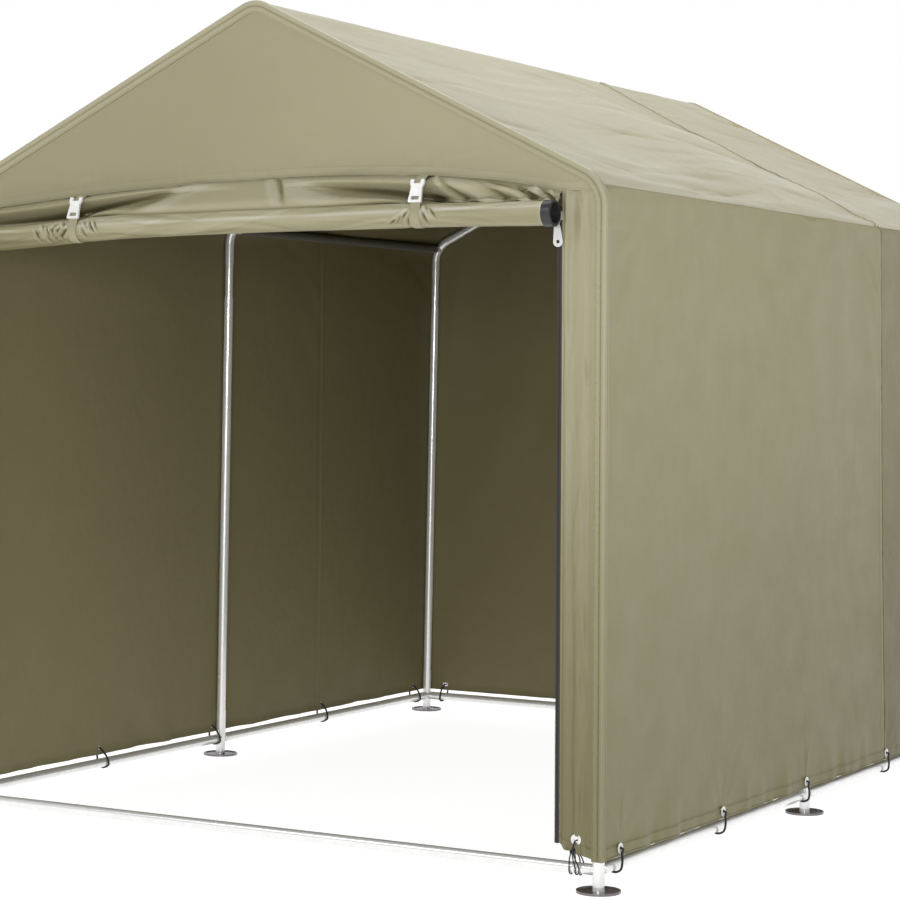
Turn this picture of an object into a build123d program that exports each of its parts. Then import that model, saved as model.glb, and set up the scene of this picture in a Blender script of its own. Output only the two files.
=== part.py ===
from build123d import *
import os
from math import atan2, cos, pi, tan

# A bike shelter: a steel pipe frame on six round feet, with a fabric cover that is open
# at the front, where the door is rolled up under the gable. Millimetres, Z up, front at -Y.
# It is drawn with Y = 0 at the middle rib, and moved at the end so that the origin is on the
# ground at the middle of the whole shelter's box.

# Driving sizes of the frame, over the pipes at the ground
WIDTH = 1830.0
LENGTH = 2440.0
PIPE_D = 25.0
PIPE_BORE = 22.6
SPIGOT_D = 22.2             # swaged end that slides into the next pipe
SPIGOT_BORE = 20.2
SWAGE_NECK = 8.0            # where a pipe closes down to its spigot

# Heights of the pipes' centre lines, and how far each post leans in at the eave
RAIL_Z = 48.0
EAVE_Z = 1525.0
RIDGE_Z = 1955.0
EAVE_LEAN = 15.0

# Feet: a round plate, and a tube that holds the post and the spigots of the base rails
PLATE_D = 98.0
PLATE_T = 3.0
PLATE_RIM_H = 5.5
PLATE_RIM_W = 4.0
FOOT_TUBE_D = 26.8
FOOT_TUBE_BORE = 25.4
FOOT_TUBE_TOP = 130.0
POST_START_Z = 75.0
RAIL_GRIP = 62.0            # from the foot's axis to the end of a rail's spigot
RAIL_GAP = 14.5             # from the foot's axis to the end of the rail itself

# Bent fittings at the eaves and the ridge
EAVE_BEND_R = 75.0
RIDGE_BEND_R = 60.0
COLLAR_LEG = 105.0          # from the corner to where a leg narrows
POST_JOINT = 199.0          # from the corner down to the top of the post
RAFTER_JOINT = 180.0        # from the corner along the slope to the rafter's end
SPIGOT_GRIP = 60.0          # how far a spigot reaches into its pipe
PURLIN_GAP = 30.0           # from a rib's plane to the end of an eave or ridge pipe
PURLIN_GRIP = 85.0

# Cover
CLOTH_T = 2.5
CLOTH_OFF = 14.0            # from the pipes' centre lines to the cloth's inner face
SEAM_GAP = 0.2
HEM_Z = 68.0
DOOR_HALF = 815.0           # half the doorway between the front strips, at the ground
STRIP_TOP_Z = 1515.0
HEM_PEAK = (200.0, 1560.0)  # the gable's hem is cut as an arch, highest at this X and Z
HEM_DROP_LEFT = 61.0        # its left end is this far below the peak
HEM_DROP_RIGHT = 47.0
TAPE_W = 11.0
TAPE_BOTTOM_Z = 100.0
TAPE_TOP_Z = 1480.0

# Rolled door: its loose cloth folds forward from the gable's hem and down into the roll
ROLL_D = 54.0
POLE_HOLE_D = 25.6
ROLL_Z = 1449.0             # at the middle of the roll
ROLL_RISE = 26.0            # how much higher the roll's right end hangs than its left end
ROLL_OUT = 38.0             # the roll's axis stands this far in front of the cloth
ROLL_HALF = 780.0
FOLD_OUT = 44.0             # the loose cloth's fold stands this far in front of the gable
FOLD_DROP = 8.0             # and starts this far below the hem
CAP_D = 58.0
CAP_LENGTH = 22.0
CAP_RECESS_D = 46.0
CAP_RECESS = 15.0
CAP_LIP = 1.5               # chamfer on the caps' outer edge
STRAP_X = 468.0
STRAP_W = 25.0
STRAP_T = 1.4

# Side-release buckles on the straps: two ears above, a waist, and a slot for the webbing
BUCKLE_H = 53.0
BUCKLE_T = 5.5
BUCKLE_HEAD_W = 35.0
BUCKLE_WAIST_W = 27.5
BUCKLE_BASE_W = 33.5
BUCKLE_NOTCH = (17.0, 9.0)
BUCKLE_SLOT = (20.0, 9.0)
BUCKLE_SLOT_RISE = 10.0     # the slot's middle above the buckle's lower end
BUCKLE_Z = {"left": 1494.0, "right": 1514.0}

# Zip sliders, each with a link and a pull tab that has a hole at both ends
SLIDER = (14.0, 7.0, 20.0)
SLIDER_R = 4.0
SLIDER_DROP = 3.0           # the slider's middle below the roll's axis
LINK_W = 9.0
LINK_LENGTH = 26.0
LINK_LEAN = 9.0             # how far the link's lower end swings towards the doorway
TAB_LENGTH = 30.0           # between the tab's two holes
TAB_TOP_R = 8.0
TAB_END_R = 11.5
TAB_TOP_HOLE_R = 2.5
TAB_END_HOLE_R = 4.0
PULL_T = 2.0

# Grommets, and the elastic ties that hold the hem to the base rails
GROMMET_Z = 86.0
GROMMET_D = 24.0
GROMMET_BORE = 11.0
BARREL_D = 12.6
EYELET_D = 13.0             # hole in the cloth
FLANGE_T = 1.2
TIE_T = 3.0
TIE_RISE = 1.5              # the tie crosses the grommet this far below its centre
LIP_MARGIN = 0.75           # room between the tie and the hem that it holds, on each side
TIE_EASE = 1.0              # room between the tie and the rail
SIDE_TIES_Y = (-1134.0, -567.0, -30.0, 567.0, 1134.0)
STRIP_TIE_X = 855.0
STRIP_TIE_Z = 112.0
BACK_TIES_X = (-840.0, -280.0, 280.0, 840.0)

# Worked out from the sizes above
POST_X = (WIDTH - PIPE_D) / 2
EAVE_X = POST_X - EAVE_LEAN
FRAME_Y = (LENGTH - PIPE_D) / 2
SLOPE = atan2(RIDGE_Z - EAVE_Z, EAVE_X)
LEAN = atan2(EAVE_LEAN, EAVE_Z)
CLOTH_OUT = CLOTH_OFF + CLOTH_T
COVER_Y = FRAME_Y + CLOTH_OUT
CLOTH_Y = COVER_Y - CLOTH_T          # inner face of the front and back panels
ROLL_Y = -COVER_Y - ROLL_OUT
FRONT_REACH = CAP_D / 2 - ROLL_Y
REAR_REACH = FRAME_Y + PLATE_D / 2
SHIFT_Y = (FRONT_REACH - REAR_REACH) / 2
FAR = 3000.0                         # larger than the shelter, for cutting

SWAGE_CUT = 400.0                    # a block this wide trims the feet at the plate's top

SIDES = {"left": -1, "right": 1}
RIBS = {"front": -FRAME_Y, "mid": 0.0, "rear": FRAME_Y}


def post_x(z):
    """X of the right posts' centre line at a height."""
    return POST_X - z * tan(LEAN)


def rod(start, end, diameter):
    """A solid round bar from one point to another."""
    axis = Vector(*end) - Vector(*start)
    section = Plane(origin=start, z_dir=axis) * Circle(diameter / 2)
    return extrude(section, amount=axis.length)


def pipe(start, end, diameter=PIPE_D, bore=PIPE_BORE):
    """A straight pipe from one point to another."""
    axis = Vector(*end) - Vector(*start)
    section = Plane(origin=start, z_dir=axis) * (Circle(diameter / 2) - Circle(bore / 2))
    return extrude(section, amount=axis.length)


def bent_rod(start, corner, end, radius, diameter):
    """A solid round bar with one bend, its arc tangent to both legs."""
    path = FilletPolyline(start, corner, end, radius=radius)
    return sweep(Plane(origin=path @ 0, z_dir=path % 0) * Circle(diameter / 2), path)


def toward(start, end, distance):
    """The point at a distance from start on the line to end."""
    point = Vector(*start) + (Vector(*end) - Vector(*start)).normalized() * distance
    return (point.X, point.Y, point.Z)


def eave_corner(side, y):
    return (side * EAVE_X, y, EAVE_Z)


def ridge_corner(y):
    return (0.0, y, RIDGE_Z)


def bend_middle(corner, first, second, radius):
    """The middle of the arc that rounds a corner between two points."""
    legs = [(Vector(*end) - Vector(*corner)).normalized() for end in (first, second)]
    half = legs[0].get_angle(legs[1]) * pi / 360
    inward = (legs[0] + legs[1]).normalized()
    point = Vector(*corner) + inward * (radius / cos(pi / 2 - half) - radius)
    return (point.X, point.Y, point.Z)


def eave_line(side, y):
    """Where the eave pipe's axis meets a rib."""
    corner = eave_corner(side, y)
    return bend_middle(corner, (side * POST_X, y, 0.0), ridge_corner(y), EAVE_BEND_R)


def ridge_line(y):
    """Where the ridge pipe's axis meets a rib."""
    return bend_middle(ridge_corner(y), eave_corner(-1, y), eave_corner(1, y), RIDGE_BEND_R)


def rib_neighbours(y):
    """The ways, along Y, in which pipes leave a rib towards the next one."""
    return [way for way in (-1, 1) if abs(y + way) <= FRAME_Y]


def bent_fitting(corner, ends, radius, middle):
    """A bent pipe whose two legs narrow to spigots, with spigots for the pipes along Y."""
    collars = [toward(corner, end, COLLAR_LEG) for end in ends]
    shape = bent_rod(collars[0], corner, collars[1], radius, PIPE_D)
    shape += bent_rod(ends[0], corner, ends[1], radius, SPIGOT_D)
    for way in rib_neighbours(corner[1]):
        root = (middle[0], middle[1] + way * PIPE_D / 2, middle[2])
        tip = (middle[0], middle[1] + way * PURLIN_GRIP, middle[2])
        shape += rod(middle, tip, SPIGOT_D) - rod(root, tip, SPIGOT_BORE)
    return shape - bent_rod(ends[0], corner, ends[1], radius, SPIGOT_BORE)


def eave_fitting(side, y):
    corner = eave_corner(side, y)
    down = toward(corner, (side * POST_X, y, 0.0), POST_JOINT + SPIGOT_GRIP)
    up = toward(corner, ridge_corner(y), RAFTER_JOINT + SPIGOT_GRIP)
    return bent_fitting(corner, (down, up), EAVE_BEND_R, eave_line(side, y))


def ridge_fitting(y):
    corner = ridge_corner(y)
    ends = [toward(corner, eave_corner(side, y), RAFTER_JOINT + SPIGOT_GRIP) for side in (-1, 1)]
    return bent_fitting(corner, ends, RIDGE_BEND_R, ridge_line(y))


def foot(side, y):
    """The tube on a foot plate, with a spigot for each base rail that meets it."""
    base = (side * post_x(0), y, 0.0)
    top = (side * post_x(FOOT_TUBE_TOP), y, FOOT_TUBE_TOP)
    axis = (side * post_x(RAIL_Z), y, RAIL_Z)
    ways = [(0, way) for way in rib_neighbours(y)]
    if abs(y) == FRAME_Y:
        ways.append((-side, 0))
    shape = rod(base, top, FOOT_TUBE_D)
    for way_x, way_y in ways:
        tip = (axis[0] + way_x * RAIL_GRIP, axis[1] + way_y * RAIL_GRIP, RAIL_Z)
        shape += pipe(axis, tip, SPIGOT_D, SPIGOT_BORE)
    shape -= rod(base, top, FOOT_TUBE_BORE)
    trim = Box(SWAGE_CUT, SWAGE_CUT, SWAGE_CUT)
    return shape - Pos(axis[0], y, PLATE_T - SWAGE_CUT / 2) * trim


def foot_plate(side, y):
    """A pressed round plate with a rolled rim."""
    outline = Polyline(
        (0, 0),
        (PLATE_D / 2, 0),
        (PLATE_D / 2, PLATE_RIM_H),
        (PLATE_D / 2 - PLATE_RIM_W, PLATE_RIM_H),
        (PLATE_D / 2 - PLATE_RIM_W - 2, PLATE_T),
        (0, PLATE_T),
        close=True,
    )
    plate = revolve(Plane.XZ * make_face(Plane.XZ.to_local_coords(Plane.XZ * outline)), Axis.Z)
    return Pos(side * post_x(0), y, 0) * plate


def post(side, y):
    start = (side * post_x(POST_START_Z), y, POST_START_Z)
    end = toward(eave_corner(side, y), (side * POST_X, y, 0.0), POST_JOINT)
    return pipe(start, end)


def rafter(side, y):
    start = toward(eave_corner(side, y), ridge_corner(y), RAFTER_JOINT)
    end = toward(ridge_corner(y), eave_corner(side, y), RAFTER_JOINT)
    return pipe(start, end)


def pipes_between_ribs(x, z, gap):
    """Two pipes in line along Y, one for each bay."""
    bays = ((RIBS["front"], RIBS["mid"]), (RIBS["mid"], RIBS["rear"]))
    return [pipe((x, a + gap, z), (x, b - gap, z)) for a, b in bays]


def cross_rail(y):
    """A base rail across the shelter: two pipes, one swaged to slide into the other."""
    end = post_x(RAIL_Z) - RAIL_GAP
    neck = (-SWAGE_NECK, y, RAIL_Z)
    joint = (0, y, RAIL_Z)
    left = pipe((-end, y, RAIL_Z), neck)
    left += pipe(neck, joint, PIPE_D, SPIGOT_BORE)
    left += pipe(joint, (SPIGOT_GRIP, y, RAIL_Z), SPIGOT_D, SPIGOT_BORE)
    right = pipe((SEAM_GAP, y, RAIL_Z), (end, y, RAIL_Z))
    return [left, right]


def section(offset):
    """The shelter's cross-section, seen along Y, grown from the pipes' centre lines."""
    corners = [
        (-POST_X, 0),
        (-EAVE_X, EAVE_Z),
        (0, RIDGE_Z),
        (EAVE_X, EAVE_Z),
        (POST_X, 0),
    ]
    face = make_face(Polyline(*corners, close=True))
    eaves = face.vertices().filter_by(lambda v: abs(v.Y - EAVE_Z) < 1)
    face = fillet(eaves, EAVE_BEND_R)
    peak = face.vertices().sort_by(Axis.Y)[-1]
    face = fillet(peak, RIDGE_BEND_R)
    return offset_face(face, offset)


def offset_face(face, amount):
    return offset(face, amount=amount, kind=Kind.ARC)


def across(face, y_low, y_high):
    """Extrudes an outline drawn in X and Z from one Y to another."""
    return Pos(0, y_high, 0) * extrude(Plane.XZ * face, amount=y_high - y_low)


def above(z):
    return Pos(0, z + FAR / 2) * Rectangle(2 * FAR, FAR)


def wall_region(side):
    """The part of the section below the middle of an eave's arc."""
    corner = Vector(side * EAVE_X, EAVE_Z)
    middle = eave_line(side, 0)
    out = (corner - Vector(middle[0], middle[2])).normalized()
    inner = corner - out * PLATE_D
    outer = corner + out * PLATE_D
    return make_face(Polyline((inner.X, inner.Y), (outer.X, outer.Y), (outer.X, 0), (inner.X, 0), close=True))


def wall(side):
    cloth = section(CLOTH_OUT) - section(CLOTH_OFF)
    face = (cloth & wall_region(side)) & above(HEM_Z)
    shape = across(face, -COVER_Y, COVER_Y)
    for y in SIDE_TIES_Y:
        plane = wall_plane(side, y)
        shape -= extrude(plane * Circle(EYELET_D / 2), amount=2 * CLOTH_T, both=True)
    return shape


def roof(side):
    cloth = section(CLOTH_OUT) - section(CLOTH_OFF)
    half = Pos(side * (FAR / 2 + SEAM_GAP / 2), EAVE_Z) * Rectangle(FAR, FAR)
    face = (cloth & half & above(HEM_Z)) - offset_face(wall_region(side), SEAM_GAP)
    return across(face, -COVER_Y, COVER_Y)


def wall_plane(side, y):
    """A plane on a side wall's outer face at a grommet, with its Z pointing out."""
    x = side * (post_x(GROMMET_Z) + CLOTH_OUT / cos(LEAN))
    return Plane(origin=(x, y, GROMMET_Z), x_dir=(0, 1, 0), z_dir=(side, 0, tan(LEAN)))


def panel_section():
    """The outline that the front and back panels fill, inside the walls and the roof."""
    return section(CLOTH_OFF - SEAM_GAP) & above(HEM_Z)


def doorway_edge(z):
    """X of the front strips' inner edge at a height."""
    return DOOR_HALF - z * tan(LEAN)


def front_strip(side):
    """The cloth beside the doorway, from the hem up to the gable's seam."""
    top = min(STRIP_TOP_Z, hem_z(side * FAR)) - SEAM_GAP
    region = make_face(Polyline(
        (side * doorway_edge(0), 0),
        (side * FAR, 0),
        (side * FAR, top),
        (side * doorway_edge(top), top),
        close=True,
    ))
    eyelet = Pos(side * STRIP_TIE_X, STRIP_TIE_Z) * Circle(EYELET_D / 2)
    return across((panel_section() & region) - eyelet, -COVER_Y, -CLOTH_Y)


def hem_z(x):
    """Height of the gable's hem, which arches over the doorway."""
    peak_x, peak_z = HEM_PEAK
    edge = doorway_edge(STRIP_TOP_Z)
    if x > peak_x:
        return peak_z - HEM_DROP_RIGHT * ((min(x, edge) - peak_x) / (edge - peak_x)) ** 2.6
    return peak_z - HEM_DROP_LEFT * ((peak_x - max(x, -edge)) / (edge + peak_x)) ** 1.75


def hem_places():
    """X at nine places across the doorway, for the hem and for the cloth that hangs from it."""
    edge = doorway_edge(STRIP_TOP_Z)
    return [edge * (i - 4) / 4 for i in range(9)]


def gable_region(drop):
    """Everything above the gable's hem, which arches up between the strips."""
    arch = Spline(*[(x, hem_z(x) - drop) for x in hem_places()])
    low_left, low_right = arch @ 0, arch @ 1
    rest = Polyline(
        (low_right.X, low_right.Y),
        (FAR, low_right.Y),
        (FAR, FAR),
        (-FAR, FAR),
        (-FAR, low_left.Y),
        (low_left.X, low_left.Y),
    )
    return make_face(arch + rest)


def gable_front():
    return across(panel_section() & gable_region(0), -COVER_Y, -CLOTH_Y)


def back_panel():
    face = panel_section()
    for x in BACK_TIES_X:
        face -= Pos(x, GROMMET_Z) * Circle(EYELET_D / 2)
    return across(face, CLOTH_Y, COVER_Y)


def zip_tape(side):
    """The zip's tape on the doorway's edge, beside a front strip."""
    inner = [doorway_edge(z) - TAPE_W for z in (TAPE_BOTTOM_Z, TAPE_TOP_Z)]
    outer = [doorway_edge(z) - SEAM_GAP for z in (TAPE_BOTTOM_Z, TAPE_TOP_Z)]
    face = make_face(Polyline(
        (side * inner[0], TAPE_BOTTOM_Z),
        (side * outer[0], TAPE_BOTTOM_Z),
        (side * outer[1], TAPE_TOP_Z),
        (side * inner[1], TAPE_TOP_Z),
        close=True,
    ))
    return across(face, -COVER_Y, -CLOTH_Y)


def capsule(start, end, start_r, end_r):
    """An outline round two circles, drawn in X and Z."""
    return make_hull((Pos(*start) * Circle(start_r)).edges() + (Pos(*end) * Circle(end_r)).edges())


def zip_pull(side):
    """A zip's slider on the front of the tape, with a link and a long tab that hangs from it."""
    z = roll_axis_z(side * ROLL_HALF) - SLIDER_DROP
    x = side * (doorway_edge(z) - TAPE_W / 2)
    y = -COVER_Y - SEAM_GAP - SLIDER[1] / 2
    body = Pos(x, y, z) * Box(*SLIDER)
    body = fillet(body.edges().filter_by(Axis.Y), SLIDER_R)
    hung = (x - side * LINK_LEAN / 2, z - LINK_LENGTH)
    low = (hung[0] + side * LINK_LEAN / 4, hung[1] - TAB_LENGTH)
    link = capsule((x, z), hung, LINK_W / 2, LINK_W / 2)
    tab = capsule(hung, low, TAB_TOP_R, TAB_END_R)
    tab -= Pos(*hung) * Circle(TAB_TOP_HOLE_R)
    tab -= Pos(*low) * Circle(TAB_END_HOLE_R)
    body += across(link, y - PULL_T, y)
    return body + across(tab, y - PULL_T / 2, y + PULL_T / 2)


def along(face, x_low, x_high):
    """Extrudes an outline drawn in Y and Z from one X to another."""
    return Pos(x_low, 0, 0) * extrude(Plane.YZ * face, amount=x_high - x_low)


def roll_axis_z(x):
    """Height of the roll's axis across the front."""
    return ROLL_Z + ROLL_RISE * x / (2 * ROLL_HALF)


def roll_rod(diameter, x_low, x_high):
    """A solid round bar on the roll's axis."""
    return rod((x_low, ROLL_Y, roll_axis_z(x_low)), (x_high, ROLL_Y, roll_axis_z(x_high)), diameter)


def loose_cloth(x):
    """Middle of the loose cloth at X, in Y and Z: from the hem over its fold and into the roll."""
    hem = hem_z(x)
    roll_top = roll_axis_z(x) + ROLL_D / 2
    gap = hem - roll_top
    fold_y = -COVER_Y - FOLD_OUT
    return [
        (-COVER_Y + CLOTH_T / 2, hem),
        (-COVER_Y - FOLD_OUT / 2, hem - FOLD_DROP / 2),
        (fold_y + CLOTH_T, hem - FOLD_DROP - gap / 8),
        (fold_y + 2 * CLOTH_T, hem - gap * 0.6),
        (ROLL_Y + CLOTH_T, roll_top - CLOTH_T),
    ]


def sheet_section(x):
    """The loose cloth's section at X, with its thickness."""
    path = Spline(*loose_cloth(x))
    faces = []
    for way in (1, -1):
        face = []
        for i in range(9):
            point, ahead = path @ (i / 8), path % (i / 8)
            off = way * CLOTH_T / 2
            face.append((point.X - ahead.Y * off, point.Y + ahead.X * off))
        faces.append(face)
    outer, inner = faces
    outline = Spline(*outer) + Line(outer[-1], inner[-1]) + Spline(*reversed(inner)) + Line(inner[0], outer[0])
    return Pos(x, 0, 0) * (Plane.YZ * make_face(outline))


def rolled_door():
    """The door, hanging from the gable's hem and wound up into a roll around its pole."""
    places = hem_places()
    places[0] += SEAM_GAP
    places[-1] -= SEAM_GAP
    hanging = loft([sheet_section(x) for x in places])
    hanging -= across(gable_region(SEAM_GAP), -COVER_Y, -CLOTH_Y)
    for side in (-1, 1):
        ends = sorted((side * ROLL_HALF, side * (ROLL_HALF + 2 * CAP_LENGTH)))
        hanging -= roll_rod(CAP_D + 4 * SEAM_GAP, *ends)
    roll = roll_rod(ROLL_D, -ROLL_HALF, ROLL_HALF)
    return hanging + roll - roll_rod(POLE_HOLE_D, -ROLL_HALF, ROLL_HALF)


def roll_pole():
    """The pole in the roll, with a hollow cap on each end."""
    start = ROLL_HALF + SEAM_GAP
    shape = roll_rod(PIPE_D, -start, start)
    for side in (-1, 1):
        cap = roll_rod(CAP_D, *sorted((side * start, side * (start + CAP_LENGTH))))
        rim = cap.faces().sort_by(Axis.X)[-1 if side > 0 else 0]
        cap = chamfer(rim.edges(), CAP_LIP)
        recess = sorted((side * (start + CAP_LENGTH - CAP_RECESS), side * (start + CAP_LENGTH + CAP_LIP)))
        shape += cap - roll_rod(CAP_RECESS_D, *recess)
    return shape - roll_rod(PIPE_BORE, -start - CAP_LENGTH, start + CAP_LENGTH)


def strap_loop(x, gap):
    """Outline round the roll, the fold over it and the gable's hem, at a distance from the cloth."""
    edges = []
    for place in (x - STRAP_W / 2, x, x + STRAP_W / 2):
        edges += (Pos(ROLL_Y, roll_axis_z(place)) * Circle(ROLL_D / 2 + gap)).edges()
        path = Spline(*loose_cloth(place))
        for i in range(16):
            point = path @ (i / 20)
            edges += (Pos(point.X, point.Y) * Circle(CLOTH_T / 2 + gap)).edges()
    return make_hull(edges)


def roll_strap(x):
    """A webbing strap round the roll and its loose cloth, with both ends sewn to the gable's hem."""
    band = strap_loop(x, 3 * SEAM_GAP + STRAP_T) - strap_loop(x, 3 * SEAM_GAP)
    gable = Pos(-COVER_Y + FAR / 2 - SEAM_GAP, ROLL_Z) * Rectangle(FAR, FAR)
    return along(band - gable, x - STRAP_W / 2, x + STRAP_W / 2)


def strap_front(x):
    """The strap's front run at X: its upper end, the way down and the way outward, in Y and Z."""
    top = Vector(*loose_cloth(x)[2])
    span = Vector(ROLL_Y, roll_axis_z(x)) - top
    axis = span.normalized()
    side = Vector(axis.Y, -axis.X)
    lean = (ROLL_D - CLOTH_T) / 2 / span.length
    steep = (1 - lean * lean) ** 0.5
    return top, axis * steep + side * lean, side * steep - axis * lean


def buckle_outline():
    """The buckle seen from the front, with its upper end up."""
    top, notch_half, notch_low = BUCKLE_H / 2, BUCKLE_NOTCH[0] / 2, BUCKLE_H / 2 - BUCKLE_NOTCH[1]
    right = [
        (notch_half, notch_low),
        (notch_half, top),
        (BUCKLE_HEAD_W / 2, top),
        (BUCKLE_HEAD_W / 2, top - BUCKLE_NOTCH[1]),
        (BUCKLE_WAIST_W / 2, notch_low - BUCKLE_NOTCH[1]),
        (BUCKLE_BASE_W / 2, -top),
    ]
    left = [(-x, y) for x, y in reversed(right)]
    face = make_face(Polyline(*right, *left, close=True))
    face = fillet(face.vertices(), PULL_T)
    return face - Pos(0, BUCKLE_SLOT_RISE - top) * RectangleRounded(*BUCKLE_SLOT, PULL_T)


def strap_buckle(name, side):
    """A side-release buckle lying on the front run of a strap."""
    x = side * STRAP_X
    top, down, out = strap_front(x)
    along_strap = (BUCKLE_Z[name] - top.Y) / down.Y
    middle = top + down * along_strap
    middle += out * ((CLOTH_T + BUCKLE_T) / 2 + STRAP_T + 6 * SEAM_GAP)
    plane = Plane(
        origin=(x, middle.X, middle.Y),
        x_dir=(1, 0, 0),
        z_dir=(0, out.X, out.Y),
    )
    return extrude(plane * buckle_outline(), amount=BUCKLE_T / 2, both=True)


def grommet(plane):
    """A flanged ring whose barrel lines a hole in the cloth, on a plane on its outer face."""
    flange = plane.offset(SEAM_GAP / 4) * (Circle(GROMMET_D / 2) - Circle(GROMMET_BORE / 2))
    barrel = plane.offset(SEAM_GAP / 2) * (Circle(BARREL_D / 2) - Circle(GROMMET_BORE / 2))
    return extrude(flange, amount=FLANGE_T) + extrude(barrel, amount=-CLOTH_T)


def front_plane(x, z):
    return Plane(origin=(x, -COVER_Y, z), x_dir=(1, 0, 0), z_dir=(0, -1, 0))


def back_plane(x):
    return Plane(origin=(x, COVER_Y, GROMMET_Z), x_dir=(-1, 0, 0), z_dir=(0, 1, 0))


def grommets():
    rings = [grommet(wall_plane(side, y)) for side in (-1, 1) for y in SIDE_TIES_Y]
    rings += [grommet(front_plane(side * STRIP_TIE_X, STRIP_TIE_Z)) for side in (-1, 1)]
    rings += [grommet(back_plane(x)) for x in BACK_TIES_X]
    return rings


def tie_outline(rail_out, cloth_out, hole_z):
    """A tie round a base rail and through a grommet: out is the distance along X or Y."""
    around_rail = Pos(rail_out, RAIL_Z) * Circle(PIPE_D / 2 + TIE_EASE)
    middle = cloth_out + (FLANGE_T - CLOTH_T) / 2
    top = hole_z - TIE_RISE - TIE_T
    height = top - HEM_Z + 2 * TIE_EASE
    lip = Pos(middle, top - height / 2) * Rectangle(CLOTH_T + FLANGE_T + 2 * LIP_MARGIN, height)
    inner = make_hull(around_rail.edges() + lip.edges())
    return offset_face(inner, TIE_T) - inner


def side_tie(side, y):
    outline = tie_outline(post_x(RAIL_Z), post_x(GROMMET_Z) + CLOTH_OUT, GROMMET_Z)
    tie = across(outline, y - TIE_T / 2, y + TIE_T / 2)
    return tie if side > 0 else mirror(tie, Plane.YZ)


def end_tie(way, x, hole_z):
    outline = tie_outline(FRAME_Y, COVER_Y, hole_z)
    tie = along(outline, x - TIE_T / 2, x + TIE_T / 2)
    return tie if way > 0 else mirror(tie, Plane.XZ)


def hem_ties():
    ties = [side_tie(side, y) for side in (-1, 1) for y in SIDE_TIES_Y]
    ties += [end_tie(-1, side * STRIP_TIE_X, STRIP_TIE_Z) for side in (-1, 1)]
    ties += [end_tie(1, x, GROMMET_Z) for x in BACK_TIES_X]
    return ties


def frame_nodes():
    nodes = {"foot_plates": [foot_plate(side, y) for side in (-1, 1) for y in RIBS.values()]}
    for name, side in SIDES.items():
        for rib, y in RIBS.items():
            nodes[f"foot_{rib}_{name}"] = foot(side, y)
            nodes[f"post_{rib}_{name}"] = post(side, y)
            nodes[f"rafter_{rib}_{name}"] = rafter(side, y)
        eave_x, _, eave_z = eave_line(side, 0)
        nodes[f"base_rail_{name}"] = pipes_between_ribs(side * post_x(RAIL_Z), RAIL_Z, RAIL_GAP)
        nodes[f"eave_rail_{name}"] = pipes_between_ribs(eave_x, eave_z, PURLIN_GAP)
        nodes[f"eave_fittings_{name}"] = [eave_fitting(side, y) for y in RIBS.values()]
    nodes["base_rail_front"] = cross_rail(-FRAME_Y)
    nodes["base_rail_rear"] = cross_rail(FRAME_Y)
    nodes["ridge_rail"] = pipes_between_ribs(0, ridge_line(0)[2], PURLIN_GAP)
    nodes["ridge_fittings"] = [ridge_fitting(y) for y in RIBS.values()]
    return nodes


def cover_nodes():
    nodes = {
        "gable_front": gable_front(),
        "back_panel": back_panel(),
        "rolled_door": rolled_door(),
        "roll_pole": roll_pole(),
        "roll_straps": [roll_strap(side * STRAP_X) for side in (-1, 1)],
        "strap_buckles": [strap_buckle(name, side) for name, side in SIDES.items()],
        "zip_tapes": [zip_tape(side) for side in (-1, 1)],
        "zip_pulls": [zip_pull(side) for side in (-1, 1)],
        "grommets": grommets(),
        "hem_ties": hem_ties(),
    }
    for name, side in SIDES.items():
        nodes[f"wall_{name}"] = wall(side)
        nodes[f"roof_{name}"] = roof(side)
        nodes[f"front_strip_{name}"] = front_strip(side)
    return nodes


os.makedirs("parts", exist_ok=True)
for node, shape in {**frame_nodes(), **cover_nodes()}.items():
    solids = shape if isinstance(shape, list) else [shape]
    solids = [Pos(0, SHIFT_Y, 0) * piece for group in solids for piece in group.solids()]
    whole = solids[0] if len(solids) == 1 else Compound(children=solids)
    export_step(whole, f"parts/{node}.step")
print("moved along Y by", round(SHIFT_Y, 2))
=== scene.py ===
"""Looks of the bike shelter: its cloth cover, roll-up door, trims and finishes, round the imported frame.

Metres, Z up, front at -Y, as in the frame. Cloth is made as closed shells on grids of lines that
follow the section of the cover, with its folds, seams and puckers as real shape.
"""

import math
import random

import bmesh
import bpy
import numpy as np
from mathutils import Matrix, Vector


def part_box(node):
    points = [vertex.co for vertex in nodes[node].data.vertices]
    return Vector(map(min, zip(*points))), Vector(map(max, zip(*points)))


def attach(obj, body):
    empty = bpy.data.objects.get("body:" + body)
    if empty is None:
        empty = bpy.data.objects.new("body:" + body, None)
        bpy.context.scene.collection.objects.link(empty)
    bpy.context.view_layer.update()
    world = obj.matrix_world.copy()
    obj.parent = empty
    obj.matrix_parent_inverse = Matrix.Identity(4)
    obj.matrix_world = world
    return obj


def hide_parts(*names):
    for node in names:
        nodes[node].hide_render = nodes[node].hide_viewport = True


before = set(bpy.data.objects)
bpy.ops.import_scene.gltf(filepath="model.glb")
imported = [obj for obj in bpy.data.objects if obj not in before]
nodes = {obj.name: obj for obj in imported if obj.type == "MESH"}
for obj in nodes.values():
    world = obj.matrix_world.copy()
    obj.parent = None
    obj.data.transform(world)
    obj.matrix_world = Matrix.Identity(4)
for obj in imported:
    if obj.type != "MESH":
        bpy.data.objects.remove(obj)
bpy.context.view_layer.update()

# Places read from the frame
SIDES = {"left": -1, "right": 1}


def middle(node):
    """Centre of a CAD node's box."""
    low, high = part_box(node)
    return (low + high) / 2


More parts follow.
